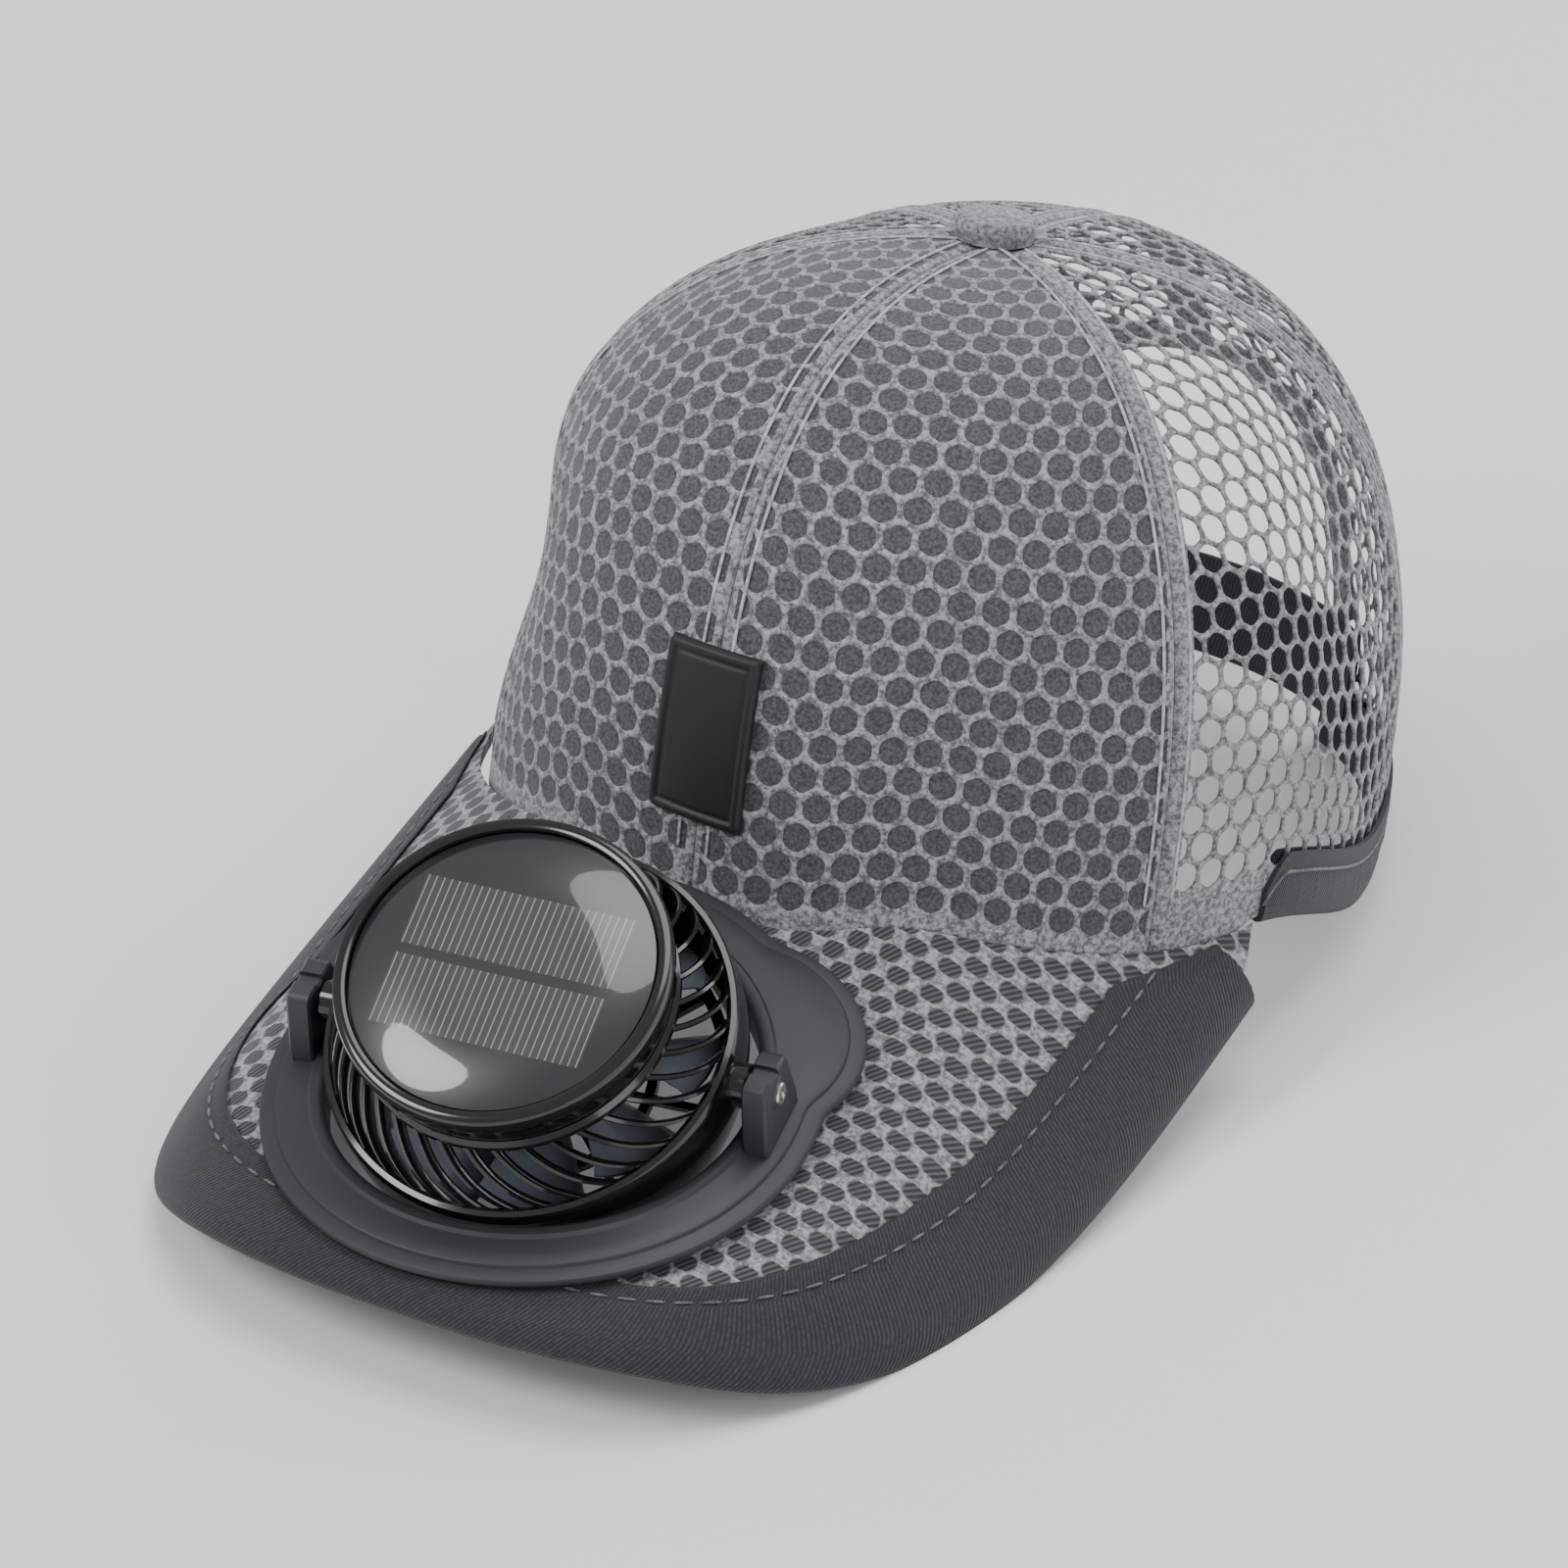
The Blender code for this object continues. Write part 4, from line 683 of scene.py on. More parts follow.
def stitchTree():
    # Instances a rounded stitch on every point, turned along its run and normal.
    tree = bpy.data.node_groups.new("stitches", "GeometryNodeTree")
    tree.interface.new_socket("Geometry", in_out="INPUT", socket_type="NodeSocketGeometry")
    for label in ("Length", "Width", "Height"):
        tree.interface.new_socket(label, in_out="INPUT", socket_type="NodeSocketFloat")
    tree.interface.new_socket("Thread", in_out="INPUT", socket_type="NodeSocketMaterial")
    tree.interface.new_socket("Geometry", in_out="OUTPUT", socket_type="NodeSocketGeometry")
    entry, leave = tree.nodes.new("NodeGroupInput"), tree.nodes.new("NodeGroupOutput")

    def named(label):
        node = addNode(tree, "GeometryNodeInputNamedAttribute", {"Name": label}, data_type="FLOAT_VECTOR")
        return node.outputs[0]
    ball = addNode(tree, "GeometryNodeMeshUVSphere", {"Segments": 8, "Rings": 5, "Radius": 0.5})
    size = addNode(tree, "ShaderNodeCombineXYZ", {0: entry.outputs["Length"], 1: entry.outputs["Width"],
                                                  2: entry.outputs["Height"]})
    shaped = addNode(tree, "GeometryNodeTransform", {"Geometry": ball.outputs[0], "Scale": size.outputs[0]})
    along = addNode(tree, "FunctionNodeAlignRotationToVector", {"Vector": named("run")}, axis="X")
    upright = addNode(tree, "FunctionNodeAlignRotationToVector",
                      {"Rotation": along.outputs[0], "Vector": named("up")}, axis="Z", pivot_axis="X")
    placed = addNode(tree, "GeometryNodeInstanceOnPoints", {
        "Points": entry.outputs["Geometry"], "Instance": shaped.outputs[0], "Rotation": upright.outputs[0]})
    real = addNode(tree, "GeometryNodeRealizeInstances", {0: placed.outputs[0]})
    dressed = addNode(tree, "GeometryNodeSetMaterial", {"Geometry": real.outputs[0],
                                                        "Material": entry.outputs["Thread"]})
    tree.links.new(dressed.outputs[0], leave.inputs[0])
    return tree


stitches = stitchTree()


def addStitches(name, rows, thread, body="hat", length=None, width=None, height=None):
    # Rows are pairs of points and normals in the row frame. One stitch stands on each point.
    spots, runs, ups = [], [], []
    for points, normals in rows:
        points = np.asarray(points)
        if len(points) < 3:
            continue
        spots.append(points)
        runs.append(np.gradient(points, axis=0))
        ups.append(np.asarray(normals))
    spots, runs, ups = (np.concatenate(part) for part in (spots, runs, ups))
    mesh = bpy.data.meshes.new(name)
    mesh.from_pydata([tuple(p) for p in spots], [], [])
    for label, data in (("run", runs), ("up", ups)):
        layer = mesh.attributes.new(label, "FLOAT_VECTOR", "POINT")
        layer.data.foreach_set("vector", np.asarray(data, np.float32).ravel())
    holder = bpy.data.objects.new(name + "_points", mesh)
    bpy.context.scene.collection.objects.link(holder)
    modifier = holder.modifiers.new("stitches", "NODES")
    modifier.node_group = stitches
    values = dict(Length=(length or stitch["length"]) / 1000, Width=(width or stitch["width"]) / 1000,
                  Height=(height or stitch["height"]) / 1000, Thread=thread)
    for item in stitches.interface.items_tree:
        if item.in_out == "INPUT" and item.name in values:
            modifier[item.identifier] = values[item.name]
    bpy.context.view_layer.update()
    graph = bpy.context.evaluated_depsgraph_get()
    made = bpy.data.meshes.new_from_object(holder.evaluated_get(graph))
    bpy.data.objects.remove(holder)
    made.name = name
    made.shade_smooth()
    piece = bpy.data.objects.new(name, made)
    bpy.context.scene.collection.objects.link(piece)
    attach(piece, body)
    return piece


def evenly(points, pitch):
    # Points at equal steps along a polyline, in metres.
    points = np.asarray(points)
    lengths = np.concatenate([[0], np.cumsum(np.linalg.norm(np.diff(points, axis=0), axis=1))])
    marks = np.arange(pitch / 2, lengths[-1], pitch)
    return np.stack([np.interp(marks, lengths, points[:, k]) for k in range(points.shape[1])], -1)


def seamRow(chart, offset, start, stop, lift=0.0001):
    # A stitch row at a distance from a panel's right (+) or left (-) seam.
    vs = np.linspace(start, chart["v"][-1] - stop, 140)
    width = np.interp(vs, chart["v"], chart["width"])
    us = np.where(offset > 0, width - abs(offset), -(width - abs(offset)))
    keep = width > abs(offset) + 0.8
    angle, rise, _ = chartToCrown(chart, us[keep], vs[keep])
    normal = crownNormals(angle, rise)
    line = np.concatenate([crownPoints(angle, rise) + normal * lift, normal], 1)
    even = evenly(line, stitch["pitch"] / 1000)
    points, normals = even[:, :3], even[:, 3:]
    return toStand(points), normals @ standArray[:3, :3].T


seamRows = []
for row in panelRows:
    chart = panelChart(row["start"], row["end"])
    for sign in (1, -1):
        atBack = row["withArch"] and sign == row["side"]
        seamRows.append(seamRow(chart, sign * 2.9, 80.0 if atBack else 9.0, 6.0))
addStitches("crown_seam_stitches", seamRows, stitchThread)
printStage("seam stitches")

# Peak and its tape

def peakEdge(count):
    # The peak's edge as evenly spaced (x, along) pairs, from the wearer's right.
    turn = np.linspace(-pi / 2, pi / 2, 2001)
    arc = peak["halfWidth"] * np.abs(np.sin(turn)) ** (2 / peak["sidePower"])
    x = peak["archRadius"] * np.sin(arc / peak["archRadius"]) * np.sign(turn)
    along = -peak["sideReturn"] + (peak["length"] + peak["sideReturn"]) * np.maximum(
        np.cos(turn), 0) ** (2 / peak["frontPower"])
    lengths = np.concatenate([[0], np.cumsum(np.hypot(np.diff(x), np.diff(along)))])
    marks = np.linspace(0, lengths[-1], count)
    return list(zip(np.interp(marks, lengths, x), np.interp(marks, lengths, along)))


def footSpot(turn, out):
    reach = float(baseReach(turn)) + out
    return reach * sin(turn), -reach * cos(turn)


def besideCrown(x, along, room):
    point = peakTop(x, along)
    turn = atan2(point.x, -point.y)
    least = float(baseReach(turn)) + 0.0005 + room
    if hypot(point.x, point.y) >= least:
        return x, along
    return least * sin(turn), peakAlong(least * sin(turn), -least * cos(turn))


def addPeak():
    corner = radians(crown["rimCorner"])
    root = [footSpot(corner * (1 - 2 * k / 120), 0.0005) for k in range(121)]
    border = peakEdge(241) + [(x, peakAlong(x, y)) for x, y in root]
    hole = plate["holeRadius"] + plate["collarWall"] + 0.0007
    shares = [0.0, 0.03, 0.07] + [0.07 + 0.93 * k / 18 for k in range(1, 19)]
    down = Vector((0, 0, -peak["thickness"]))
    sections, charts = [], []
    for x, along in border:
        away = hypot(x, along - plate["along"])
        start = (x / away * hole, plate["along"] + (along - plate["along"]) / away * hole)
        top, chart = [], []
        for share in shares:
            px, pa = mix(start[0], x, share), mix(start[1], along, share)
            if 0 < share < 1:
                px, pa = besideCrown(px, pa, (1 - share) * peak["thickness"])
            top.append(peakTop(px, pa))
            chart.append((px * 1000, pa * 1000))
        sections.append(top + [p + down for p in reversed(top)])
        charts += chart + chart[::-1]
    points, faces = loft(sections, ring=True)
    addPiece("peak", toStand(points), faces, dottedCloth, "hat", ["peak"], charts)


tape = dict(thickness=0.0009, width=0.0125, underWidth=0.0095, gap=0.00025, stitchInset=0.0088,
            stitchPitch=0.0048, stitchLength=3.6, rimHeight=0.012, rimGap=0.0003)


def addPeakTape():
    edge = peakEdge(301)
    corner = radians(crown["rimCorner"])
    root = np.array([footSpot(corner * (1 - 2 * k / 120), 0.0) for k in range(121)])
    under, thick, gap = peak["thickness"], tape["thickness"], tape["gap"]
    hole = plate["holeRadius"] + plate["collarWall"] + 0.0020
    sections, charts, seam, seamUp = [], [], [], []
    length = 0.0
    for k in range(1, len(edge) - 1):
        (x, along), before, after = edge[k], edge[k - 1], edge[k + 1]
        run = Vector((after[0] - before[0], after[1] - before[1])).normalized()
        inward = Vector((run.y, -run.x))
        if inward.dot(Vector((-x, plate["along"] - along))) < 0:
            inward = -inward
        length += hypot(after[0] - x, after[1] - along) * 1000
        here = peakTop(x, along)
        room = float(np.hypot(root[:, 0] - here.x, root[:, 1] - here.y).min()) - 0.0006
        room = min(room, hypot(x, along - plate["along"]) - hole)
        if room < 0.0015:
            continue
        wave = 0.00025 * noise.noise(Vector((k * 0.35, 3.1, 0)))
        wide, narrow = min(tape["width"] + wave, room), min(tape["underWidth"], room)
        puff = 0.0002 + 0.00035 * abs(noise.noise(Vector((k * 0.22, 7.7, 0))))

        def spot(inset, lift):
            return peakTop(x + inward.x * inset, along + inward.y * inset, lift)
        section = [spot(wide, gap), spot(wide, gap + thick * 0.8), spot(wide - 0.0005, gap + thick + 0.0001)]
        for share in (0.82, 0.70, 0.62, 0.4, 0.18, 0.0):
            swell = puff * sin(pi * clamp(share / 0.7)) - 0.0002 * (abs(share - 0.70) < 0.02)
            section.append(spot(wide * share, gap + thick + swell))
        radius = under / 2 + gap + thick
        for step in range(1, 8):
            turn = pi / 2 - pi * step / 8
            section.append(spot(-radius * cos(turn), -under / 2 + radius * sin(turn)))
        section += [spot(narrow * share, -under - gap - thick) for share in (0.0, 0.5, 0.96)]
        section += [spot(narrow, -under - gap - thick * 0.7), spot(narrow, -under - gap)]
        section += [spot(narrow * 0.5, -under - gap)]
        inner = under / 2 + gap
        section += [spot(-inner * cos(turn), -under / 2 - inner * sin(turn))
                    for turn in (pi / 2, pi / 4, 0, -pi / 4, -pi / 2)]
        section.append(spot(wide * 0.5, gap))
        sections.append(section)
        charts += [(length, 1.1 * index) for index in range(len(section))]
        if room > tape["stitchInset"] + 0.001:
            seam.append(spot(tape["stitchInset"], gap + thick + 0.0001))
            seamUp.append((0, -0.2, 0.98))
    points, faces = loft(sections)
    addPiece("peak_binding", toStand(points), faces, darkTape, "hat", ["peak_binding"], charts)
    seamSpots = toStand([tuple(p) for p in seam])
    line = evenly(np.concatenate([seamSpots, np.array(seamUp)], 1), tape["stitchPitch"])
    addStitches("peak_tape_stitches", [(line[:, :3], line[:, 3:])], tapeThread, length=tape["stitchLength"])


def riseAtHeight(angle, height):
    # Rise of the crown point at a height above the rim.
    low = float(rimLevel(angle))
    heightPower = mix(meridians[0]["heightPower"], meridians[2]["heightPower"], (1 - cos(angle)) / 2)
    return asin(clamp(height / (crown["height"] - low)) ** (1 / heightPower))


def addRimTape(name, sign):
    thick, gap, wall = tape["thickness"], tape["rimGap"], net["wall"] * 0.001
    stop = radians(179)
    while abs(float(crownPoints(stop, 0.0)[0])) < arch["halfWidth"] + 0.0008:
        stop -= 0.004
    angles = np.linspace(radians(crown["rimCorner"] + 1.2), stop, 150)
    sections, charts, seam, ups = [], [], [], []
    length = 0.0
    for k, turn in enumerate(angles):
        angle = turn * sign
        foot = crownPoints(angle, 0.0)
        normal = crownNormals(angle, 0.03)
        flat = np.array([normal[0], normal[1], 0]) / hypot(normal[0], normal[1])
        height = tape["rimHeight"] * smooth(0.45 + k / 14)
        puff = 0.0002 + 0.0005 * abs(noise.noise(Vector((k * 0.25, 1.7, sign))))

        def wallSpot(up, out):
            point = crownPoints(angle, riseAtHeight(angle, up)) if up > 0 else foot
            return point + flat * out
        section = [wallSpot(height, gap), wallSpot(height, gap + thick)]
        for share in (0.85, 0.70, 0.5, 0.25, 0.0):
            section.append(wallSpot(height * share, gap + thick + puff * sin(pi * clamp(share / 0.7))))
        down = np.array([0, 0, -1.0])
        section += [foot + flat * (gap + thick * 0.6) + down * 0.0008,
                    foot - flat * wall / 2 + down * 0.0012,
                    foot - flat * (wall + gap + thick * 0.6) + down * 0.0008]
        section += [wallSpot(height * share, -wall - gap - thick) for share in (0.0, 0.3, 0.65, 1.0)]
        section += [wallSpot(height * share, -wall - gap) for share in (1.0, 0.5, 0.0)]
        section += [foot - flat * wall / 2 + down * gap]
        section += [wallSpot(height * share, gap) for share in (0.0, 0.5)]
        sections.append(section)
        if k:
            length += float(np.linalg.norm(section[4] - sections[-2][4])) * 1000
        charts += [(length, 1.5 * index) for index in range(len(section))]
        seam.append(wallSpot(height * 0.70, gap + thick + 0.0001))
        ups.append(normal)
    points, faces = loft([[tuple(p) for p in s] for s in sections])
    addPiece(name, toStand(points), faces, darkTape, "hat", [name], charts)
    turned = np.array(ups) @ standArray[:3, :3].T
    line = evenly(np.concatenate([toStand(seam), turned], 1), tape["stitchPitch"])
    addStitches(name + "_stitches", [(line[:, :3], line[:, 3:])], tapeThread, length=tape["stitchLength"])


addPeak()
addPeakTape()
addRimTape("rim_binding_left", 1)
addRimTape("rim_binding_right", -1)
printStage("peak and tapes")


# Patch, button and strap

badge = dict(width=20.0, height=32.0, foot=15.4, thickness=1.7, border=2.2, groove=0.9, corner=1.6)


def addPatch():
    # Bare leather patch with an embossed border, wrapped on the front seam.
    columns, rows = 60, 96
    grid, patchChart = [], []
    line = crownPoints(0.0, np.linspace(0, 1.4, 900)) * 1000
    arcs = np.concatenate([[0], np.cumsum(np.linalg.norm(np.diff(line, axis=0), axis=1))])
    for j in range(rows + 1):
        v = badge["height"] * j / rows
        rise = float(np.interp(badge["foot"] + v, arcs, np.linspace(0, 1.4, 900)))
        reach = abs(float(crownPoints(0.0, rise)[1])) * 1000 + 4.5
        for i in range(columns + 1):
            u = badge["width"] * (i / columns - 0.5)
            edge = min(badge["width"] / 2 - abs(u), v, badge["height"] - v)
            inset = min(badge["width"] / 2 - abs(u), 9), min(v, badge["height"] - v)
            if inset[0] < badge["corner"] and inset[1] < badge["corner"]:
                edge = badge["corner"] - hypot(badge["corner"] - inset[0], badge["corner"] - inset[1])
            lift = badge["thickness"] * sqrt(clamp(edge / 0.7, 0.12, 1))
            lift -= 0.45 * smooth(1 - abs(edge - badge["border"]) / (badge["groove"] / 2 + 0.2))
            lift -= 0.22 * smooth((edge - badge["border"]) / 0.5)
            if edge < 0:
                pull = -edge / hypot(badge["corner"], badge["corner"])
                u -= (1 if u > 0 else -1) * pull * 0.9
                lift = badge["thickness"] * 0.12
            angle = asin(u / reach)
            point, normal = crownPoints(angle, rise), crownNormals(angle, rise)
            grid.append(point + normal * (0.35 + lift) * 0.001)
            patchChart.append((u, v))
    size = len(grid)
    under = []
    for j in range(rows + 1):
        rise = float(np.interp(badge["foot"] + badge["height"] * j / rows, arcs, np.linspace(0, 1.4, 900)))
        reach = abs(float(crownPoints(0.0, rise)[1])) * 1000 + 4.5
        for i in range(columns + 1):
            angle = asin(badge["width"] * (i / columns - 0.5) * 0.985 / reach)
            under.append(crownPoints(angle, rise) + crownNormals(angle, rise) * 0.00035)
    faces = []
    for j in range(rows):
        for i in range(columns):
            a = j * (columns + 1) + i
            b, c, d = a + 1, a + columns + 2, a + columns + 1
            faces += [(a, b, c, d), (size + d, size + c, size + b, size + a)]
    border = ([i for i in range(columns)] + [j * (columns + 1) + columns for j in range(rows)]
              + [rows * (columns + 1) + i for i in range(columns, 0, -1)]
              + [j * (columns + 1) for j in range(rows, 0, -1)])
    for p, q in zip(border, border[1:] + border[:1]):
        faces.append((q, p, size + p, size + q))
    addPiece("front_patch", toStand(grid + under), faces, patchLeather, "hat", ["front_patch"],
             patchChart + patchChart, 60)


def revolve(profile, columns, wobble=None):
    # Closed solid from a profile whose ends lie on the axis.
    points, faces = [(0, 0, profile[0][1]), (0, 0, profile[-1][1])], []
    inner = profile[1:-1]
    for k in range(columns):
        turn = 2 * pi * k / columns
        for index, (radius, z) in enumerate(inner):
            r = radius * (1 + (wobble(turn, index) if wobble else 0))
            points.append((r * cos(turn), r * sin(turn), z))
    size = len(inner)
    for k in range(columns):
        a, b = 2 + k * size, 2 + (k + 1) % columns * size
        faces += [(0, a, b), (1, b + size - 1, a + size - 1)]
        faces += [(a + j, a + j + 1, b + j + 1, b + j) for j in range(size - 1)]
    return points, faces


def addButton():
    top = crown["height"] * 1000 + 0.2
    profile = [(0, top - 5.5), (2.0, top - 5.5), (2.4, top - 1.0), (5.6, top - 0.9), (7.2, top - 0.3)]
    for k in range(11):
        turn = -0.5 + (pi / 2 + 0.5) * k / 11
        profile.append((5.4 + 2.4 * cos(turn) if k < 8 else 7.8 * cos(turn) * 0.92,
                        top + 1.9 + 2.0 * sin(turn) + 1.2 * smooth(k / 11)))
    profile = profile[:-3] + [(5.0, top + 4.35), (3.4, top + 4.75), (1.7, top + 4.95), (0, top + 5.0)]
    points, faces = revolve(profile, 72, lambda turn, index: 0.018 * sin(9 * turn + index) * (index > 3))
    place = [(x * 0.001, y * 0.001 + crown["topShift"], z * 0.001) for x, y, z in points]
    addPiece("crown_button", toStand(place), faces, buttonCloth, "hat", ["crown_button"])


def addStrap():
    # The band across the back opening, tucked inside the wall.
    low = float(rimLevel(pi)) + 0.0059
    sections, charts = [], []
    half = arch["halfWidth"] + 0.012
    for k in range(101):
        x = mix(-half, half, k / 100)
        section = []
        for height, out in [(0, 0.8), (0.35, 1.0), (3, 1.1), (10, 1.15), (17, 1.1), (19.65, 1.0), (20, 0.8),
                            (20, 0.2), (19.65, 0.0), (10, 0.0), (0.35, 0.0), (0, 0.2)]:
            z = low + height * 0.001
            angle, rise = archSpot(max(abs(x), 0.0002), z)
            angle = angle if x > 0 else -angle
            normal = crownNormals(angle, rise)
            section.append(tuple(crownPoints(angle, rise) - normal * (0.0024 + 0.0014 * (1 - out))))
        sections.append(section)
        charts += [(x * 1000, 2.0 * index) for index in range(12)]
    points, faces = loft(sections)
    addPiece("back_strap", toStand(points), faces, darkTape, "hat", ["back_strap"], charts)


addPatch()
addButton()
addStrap()
printStage("patch, button and strap")


# Fan: plate, ball housing, drum and cells

droop = radians(peak["droop"])
plateCentre = Vector((0, -crown["frontReach"] - plate["along"] * cos(droop) + plate["sink"] * sin(droop),
                      peak["rootHeight"] - plate["along"] * sin(droop) - plate["sink"] * cos(droop)))
platePlace = (stand @ Matrix.Translation(plateCentre) @ Matrix.Rotation(droop, 4, "X")
              @ Matrix.Rotation(radians(plate["roll"]), 4, "Y")
              @ Matrix.Rotation(radians(plate["yaw"]), 4, "Z"))
fanPlace = (platePlace @ Matrix.Translation((0, 0, fan["pivotHeight"]))
            @ Matrix.Rotation(radians(fan["tilt"]), 4, "X"))


def placed(points, place):
    # Millimetre points of a piece's own frame in the row frame.
    array = np.array(place)
    return (np.asarray(points, float) * 0.001) @ array[:3, :3].T + array[:3, 3]


def mergePieces(pieces):
    # Several closed shells as one list of points and faces.
    points, faces = [], []
    for some, more in pieces:
        first = len(points)
        points += [tuple(p) for p in some]
        faces += [tuple(i + first for i in face) for face in more]
    return points, faces


def ringShell(profile, columns):
    sections = []
    for k in range(columns):
        turn = 2 * pi * k / columns
        sections.append([(r * cos(turn), r * sin(turn), z) for r, z in profile])
    return loft(sections, ring=True)


def plateReach(turn):
    reach = plate["radius"]
    for side in (1, -1):
        cx, cy = plate["lobeOut"] * side, plate["lobeBack"]
        ahead = cx * cos(turn) + cy * sin(turn)
        across = cx * sin(turn) - cy * cos(turn)
        if abs(across) < plate["lobeRadius"]:
            reach = max(reach, ahead + sqrt(plate["lobeRadius"] ** 2 - across ** 2))
    return reach * 1000


lug = dict(start=40.4, thickness=4.6, top=9.8, baseHalf=7.5, topHalf=5.4, notchHalf=1.2)  # mm


def addPlate():
    columns = 360
    turns = [2 * pi * k / columns for k in range(columns)]
    reaches = np.array([plateReach(turn) for turn in turns])
    for _ in range(5):  # soften the corners between disc and lobes
        reaches = 0.5 * reaches + 0.25 * (np.roll(reaches, 1) + np.roll(reaches, -1))
    hole, wall = plate["holeRadius"] * 1000, (plate["holeRadius"] + plate["collarWall"]) * 1000
    lip, step, foot = plate["lipWidth"] * 1000, plate["lipStep"] * 1000, plate["collarDepth"] * 1000
    under = plate["thickness"] * 1000
    sections = []
    for turn, out in zip(turns, reaches):
        inner = [(hole + 0.15, -0.25), (hole + 0.4, 0.0), (hole + 1.2, 0.55), (hole + 2.6, 0.6),
                 (hole + 3.2, 0.05), (hole + 6.0, 0.0)]
        outer = [(out - lip - 0.4, 0.0), (out - lip - 0.05, -0.15), (out - lip + 0.2, 0.05 - step),
                 (out - 0.9, -step), (out - 0.25, -step - 0.2), (out, -step - 0.7), (out, 0.3 - under),
                 (out - 0.3, -under)]
        collar = [(wall, -under), (wall, 0.3 - foot), (wall - 0.3, -foot), (hole + 0.3, -foot),
                  (hole, 0.3 - foot)]
        rows = inner + outer + collar
        section = []
        for radius, height in rows:
            x, y = radius * cos(turn), radius * sin(turn)
            bend = plateHeight(x * 0.001) * (1000 if height > -8 else 400)  # the collar's foot bends less
            section.append((x, y, height + bend))
        sections.append(section)
    pieces = [loft(sections, ring=True)]
    start, thick, top = lug["start"], lug["thickness"], lug["top"]
    for side in (1, -1):
        base = plateHeight(start * 0.001) * 1000 - 1.2
        half = [(lug["baseHalf"], base), (lug["baseHalf"], base + 3.0), (lug["topHalf"], top - 1.2),
                (lug["topHalf"] - 0.5, top - 0.4), (lug["topHalf"] - 1.4, top), (lug["notchHalf"], top),
                (lug["notchHalf"], top - 0.7)]
        outline = [(-lug["baseHalf"], base)] + half + [(-v, w) for v, w in half[:0:-1]]
        sections = []
        for depth, shrink in ((0, 0.94), (0.4, 1.0), (thick - 0.5, 1.0), (thick, 0.93)):
            section = []
            for v, w in outline:
                share = shrink if w > base + 0.1 else 1
                section.append(((start + depth) * side, v * shrink, 3 + (w - 3) * share))
            sections.append(section)
        pieces.append(loft(sections))
        washer = (start + thick - 0.2, start + thick + 0.25)
        pieces.append(cylinderAlong(side, *washer, 3.4, 2.9, fan["pivotHeight"] * 1000))
    points, faces = mergePieces(pieces)
    addPiece("fan_plate", placed(points, platePlace), faces, mattePlastic, "hat", ["fan_plate"],
             smoothAngle=35)


def cylinderAlong(side, start, stop, radius, stopRadius, lift, columns=40):
    # A short bar along the hinge line.
    sections = []
    chamfer = min(0.35, (stop - start) / 3)
    for u, r in ((start, radius), (stop - chamfer, stopRadius), (stop, stopRadius - chamfer)):
        sections.append([(u * side, r * cos(2 * pi * k / columns), lift + r * sin(2 * pi * k / columns))
                         for k in range(columns)])
    return loft(sections)


louvre = dict(count=36, width=1.5, depth=2.2, swirl=26.0, foot=5.2, top=16.9)
housing = dict(foot=-15.0, wall=1.7, bossRadius=4.0, bossEnd=40.1)  # mm


def ballRadius(height):
    return sqrt(max((fan["ballRadius"] * 1000) ** 2 - height * height, 0))


def addHousing():
    rim = ballRadius(housing["foot"])
    band = [(34.7, 5.4), (35.6, 5.9), (36.5, 5.6), (36.95, 4.6), (36.9, 3.2)]
    band += [(ballRadius(h), h) for h in np.linspace(2.6, housing["foot"], 12)]
    band += [(rim - housing["wall"] + 0.1, housing["foot"])]
    band += [(ballRadius(h) - housing["wall"], h) for h in np.linspace(housing["foot"] + 2, 2.0, 9)]
    band += [(34.9, 3.6)]
    pieces = [ringShell(band, 180)]
    collar = [(24.4, 15.6), (24.4, 17.2), (28.2, 17.4), (29.0, 16.6), (29.0, 15.4), (28.2, 14.8),
              (25.0, 15.2)]
    pieces.append(ringShell(collar, 144))
    steps = 12
    for rib in range(louvre["count"]):
        base = 360 * rib / louvre["count"]
        sections = []
        for k in range(steps + 1):
            share = k / steps
            radius = mix(35.6, 28.3, share) + 1.5 * sin(pi * share)
            height = mix(louvre["foot"] - 0.6, louvre["top"] - 0.6, share)
            turn = radians(base + louvre["swirl"] * (1 - share))
            radial = Vector((cos(turn), sin(turn), 0))
            along = Vector((-sin(turn), cos(turn), 0))
            out = (radial * 0.80 + Vector((0, 0, 0.6))).normalized()
            spot = radial * radius + Vector((0, 0, height))
            half, deep = louvre["width"] / 2, louvre["depth"]
            sections.append([tuple(spot + along * a * half - out * d * deep) for a, d in
                             ((-0.55, 0.0), (0.55, 0.0), (1.0, 0.18), (0.8, 1.0), (-0.8, 1.0), (-1.0, 0.18))])
        pieces.append(loft(sections))
    for side in (1, -1):
        pieces.append(cylinderAlong(side, 35.6, housing["bossEnd"], housing["bossRadius"],
                                    housing["bossRadius"], 0.0))
    points, faces = mergePieces(pieces)
    addPiece("fan_housing", placed(points, fanPlace), faces, glossPlastic, "fan", ["fan_housing"],
             smoothAngle=40)


guard = dict(top=-12.8, low=-14.4, edgeGap=2.1, ringInner=17.1, ringOuter=18.9, hub=6.0, bars=16,
             barHalf=0.7)  # mm


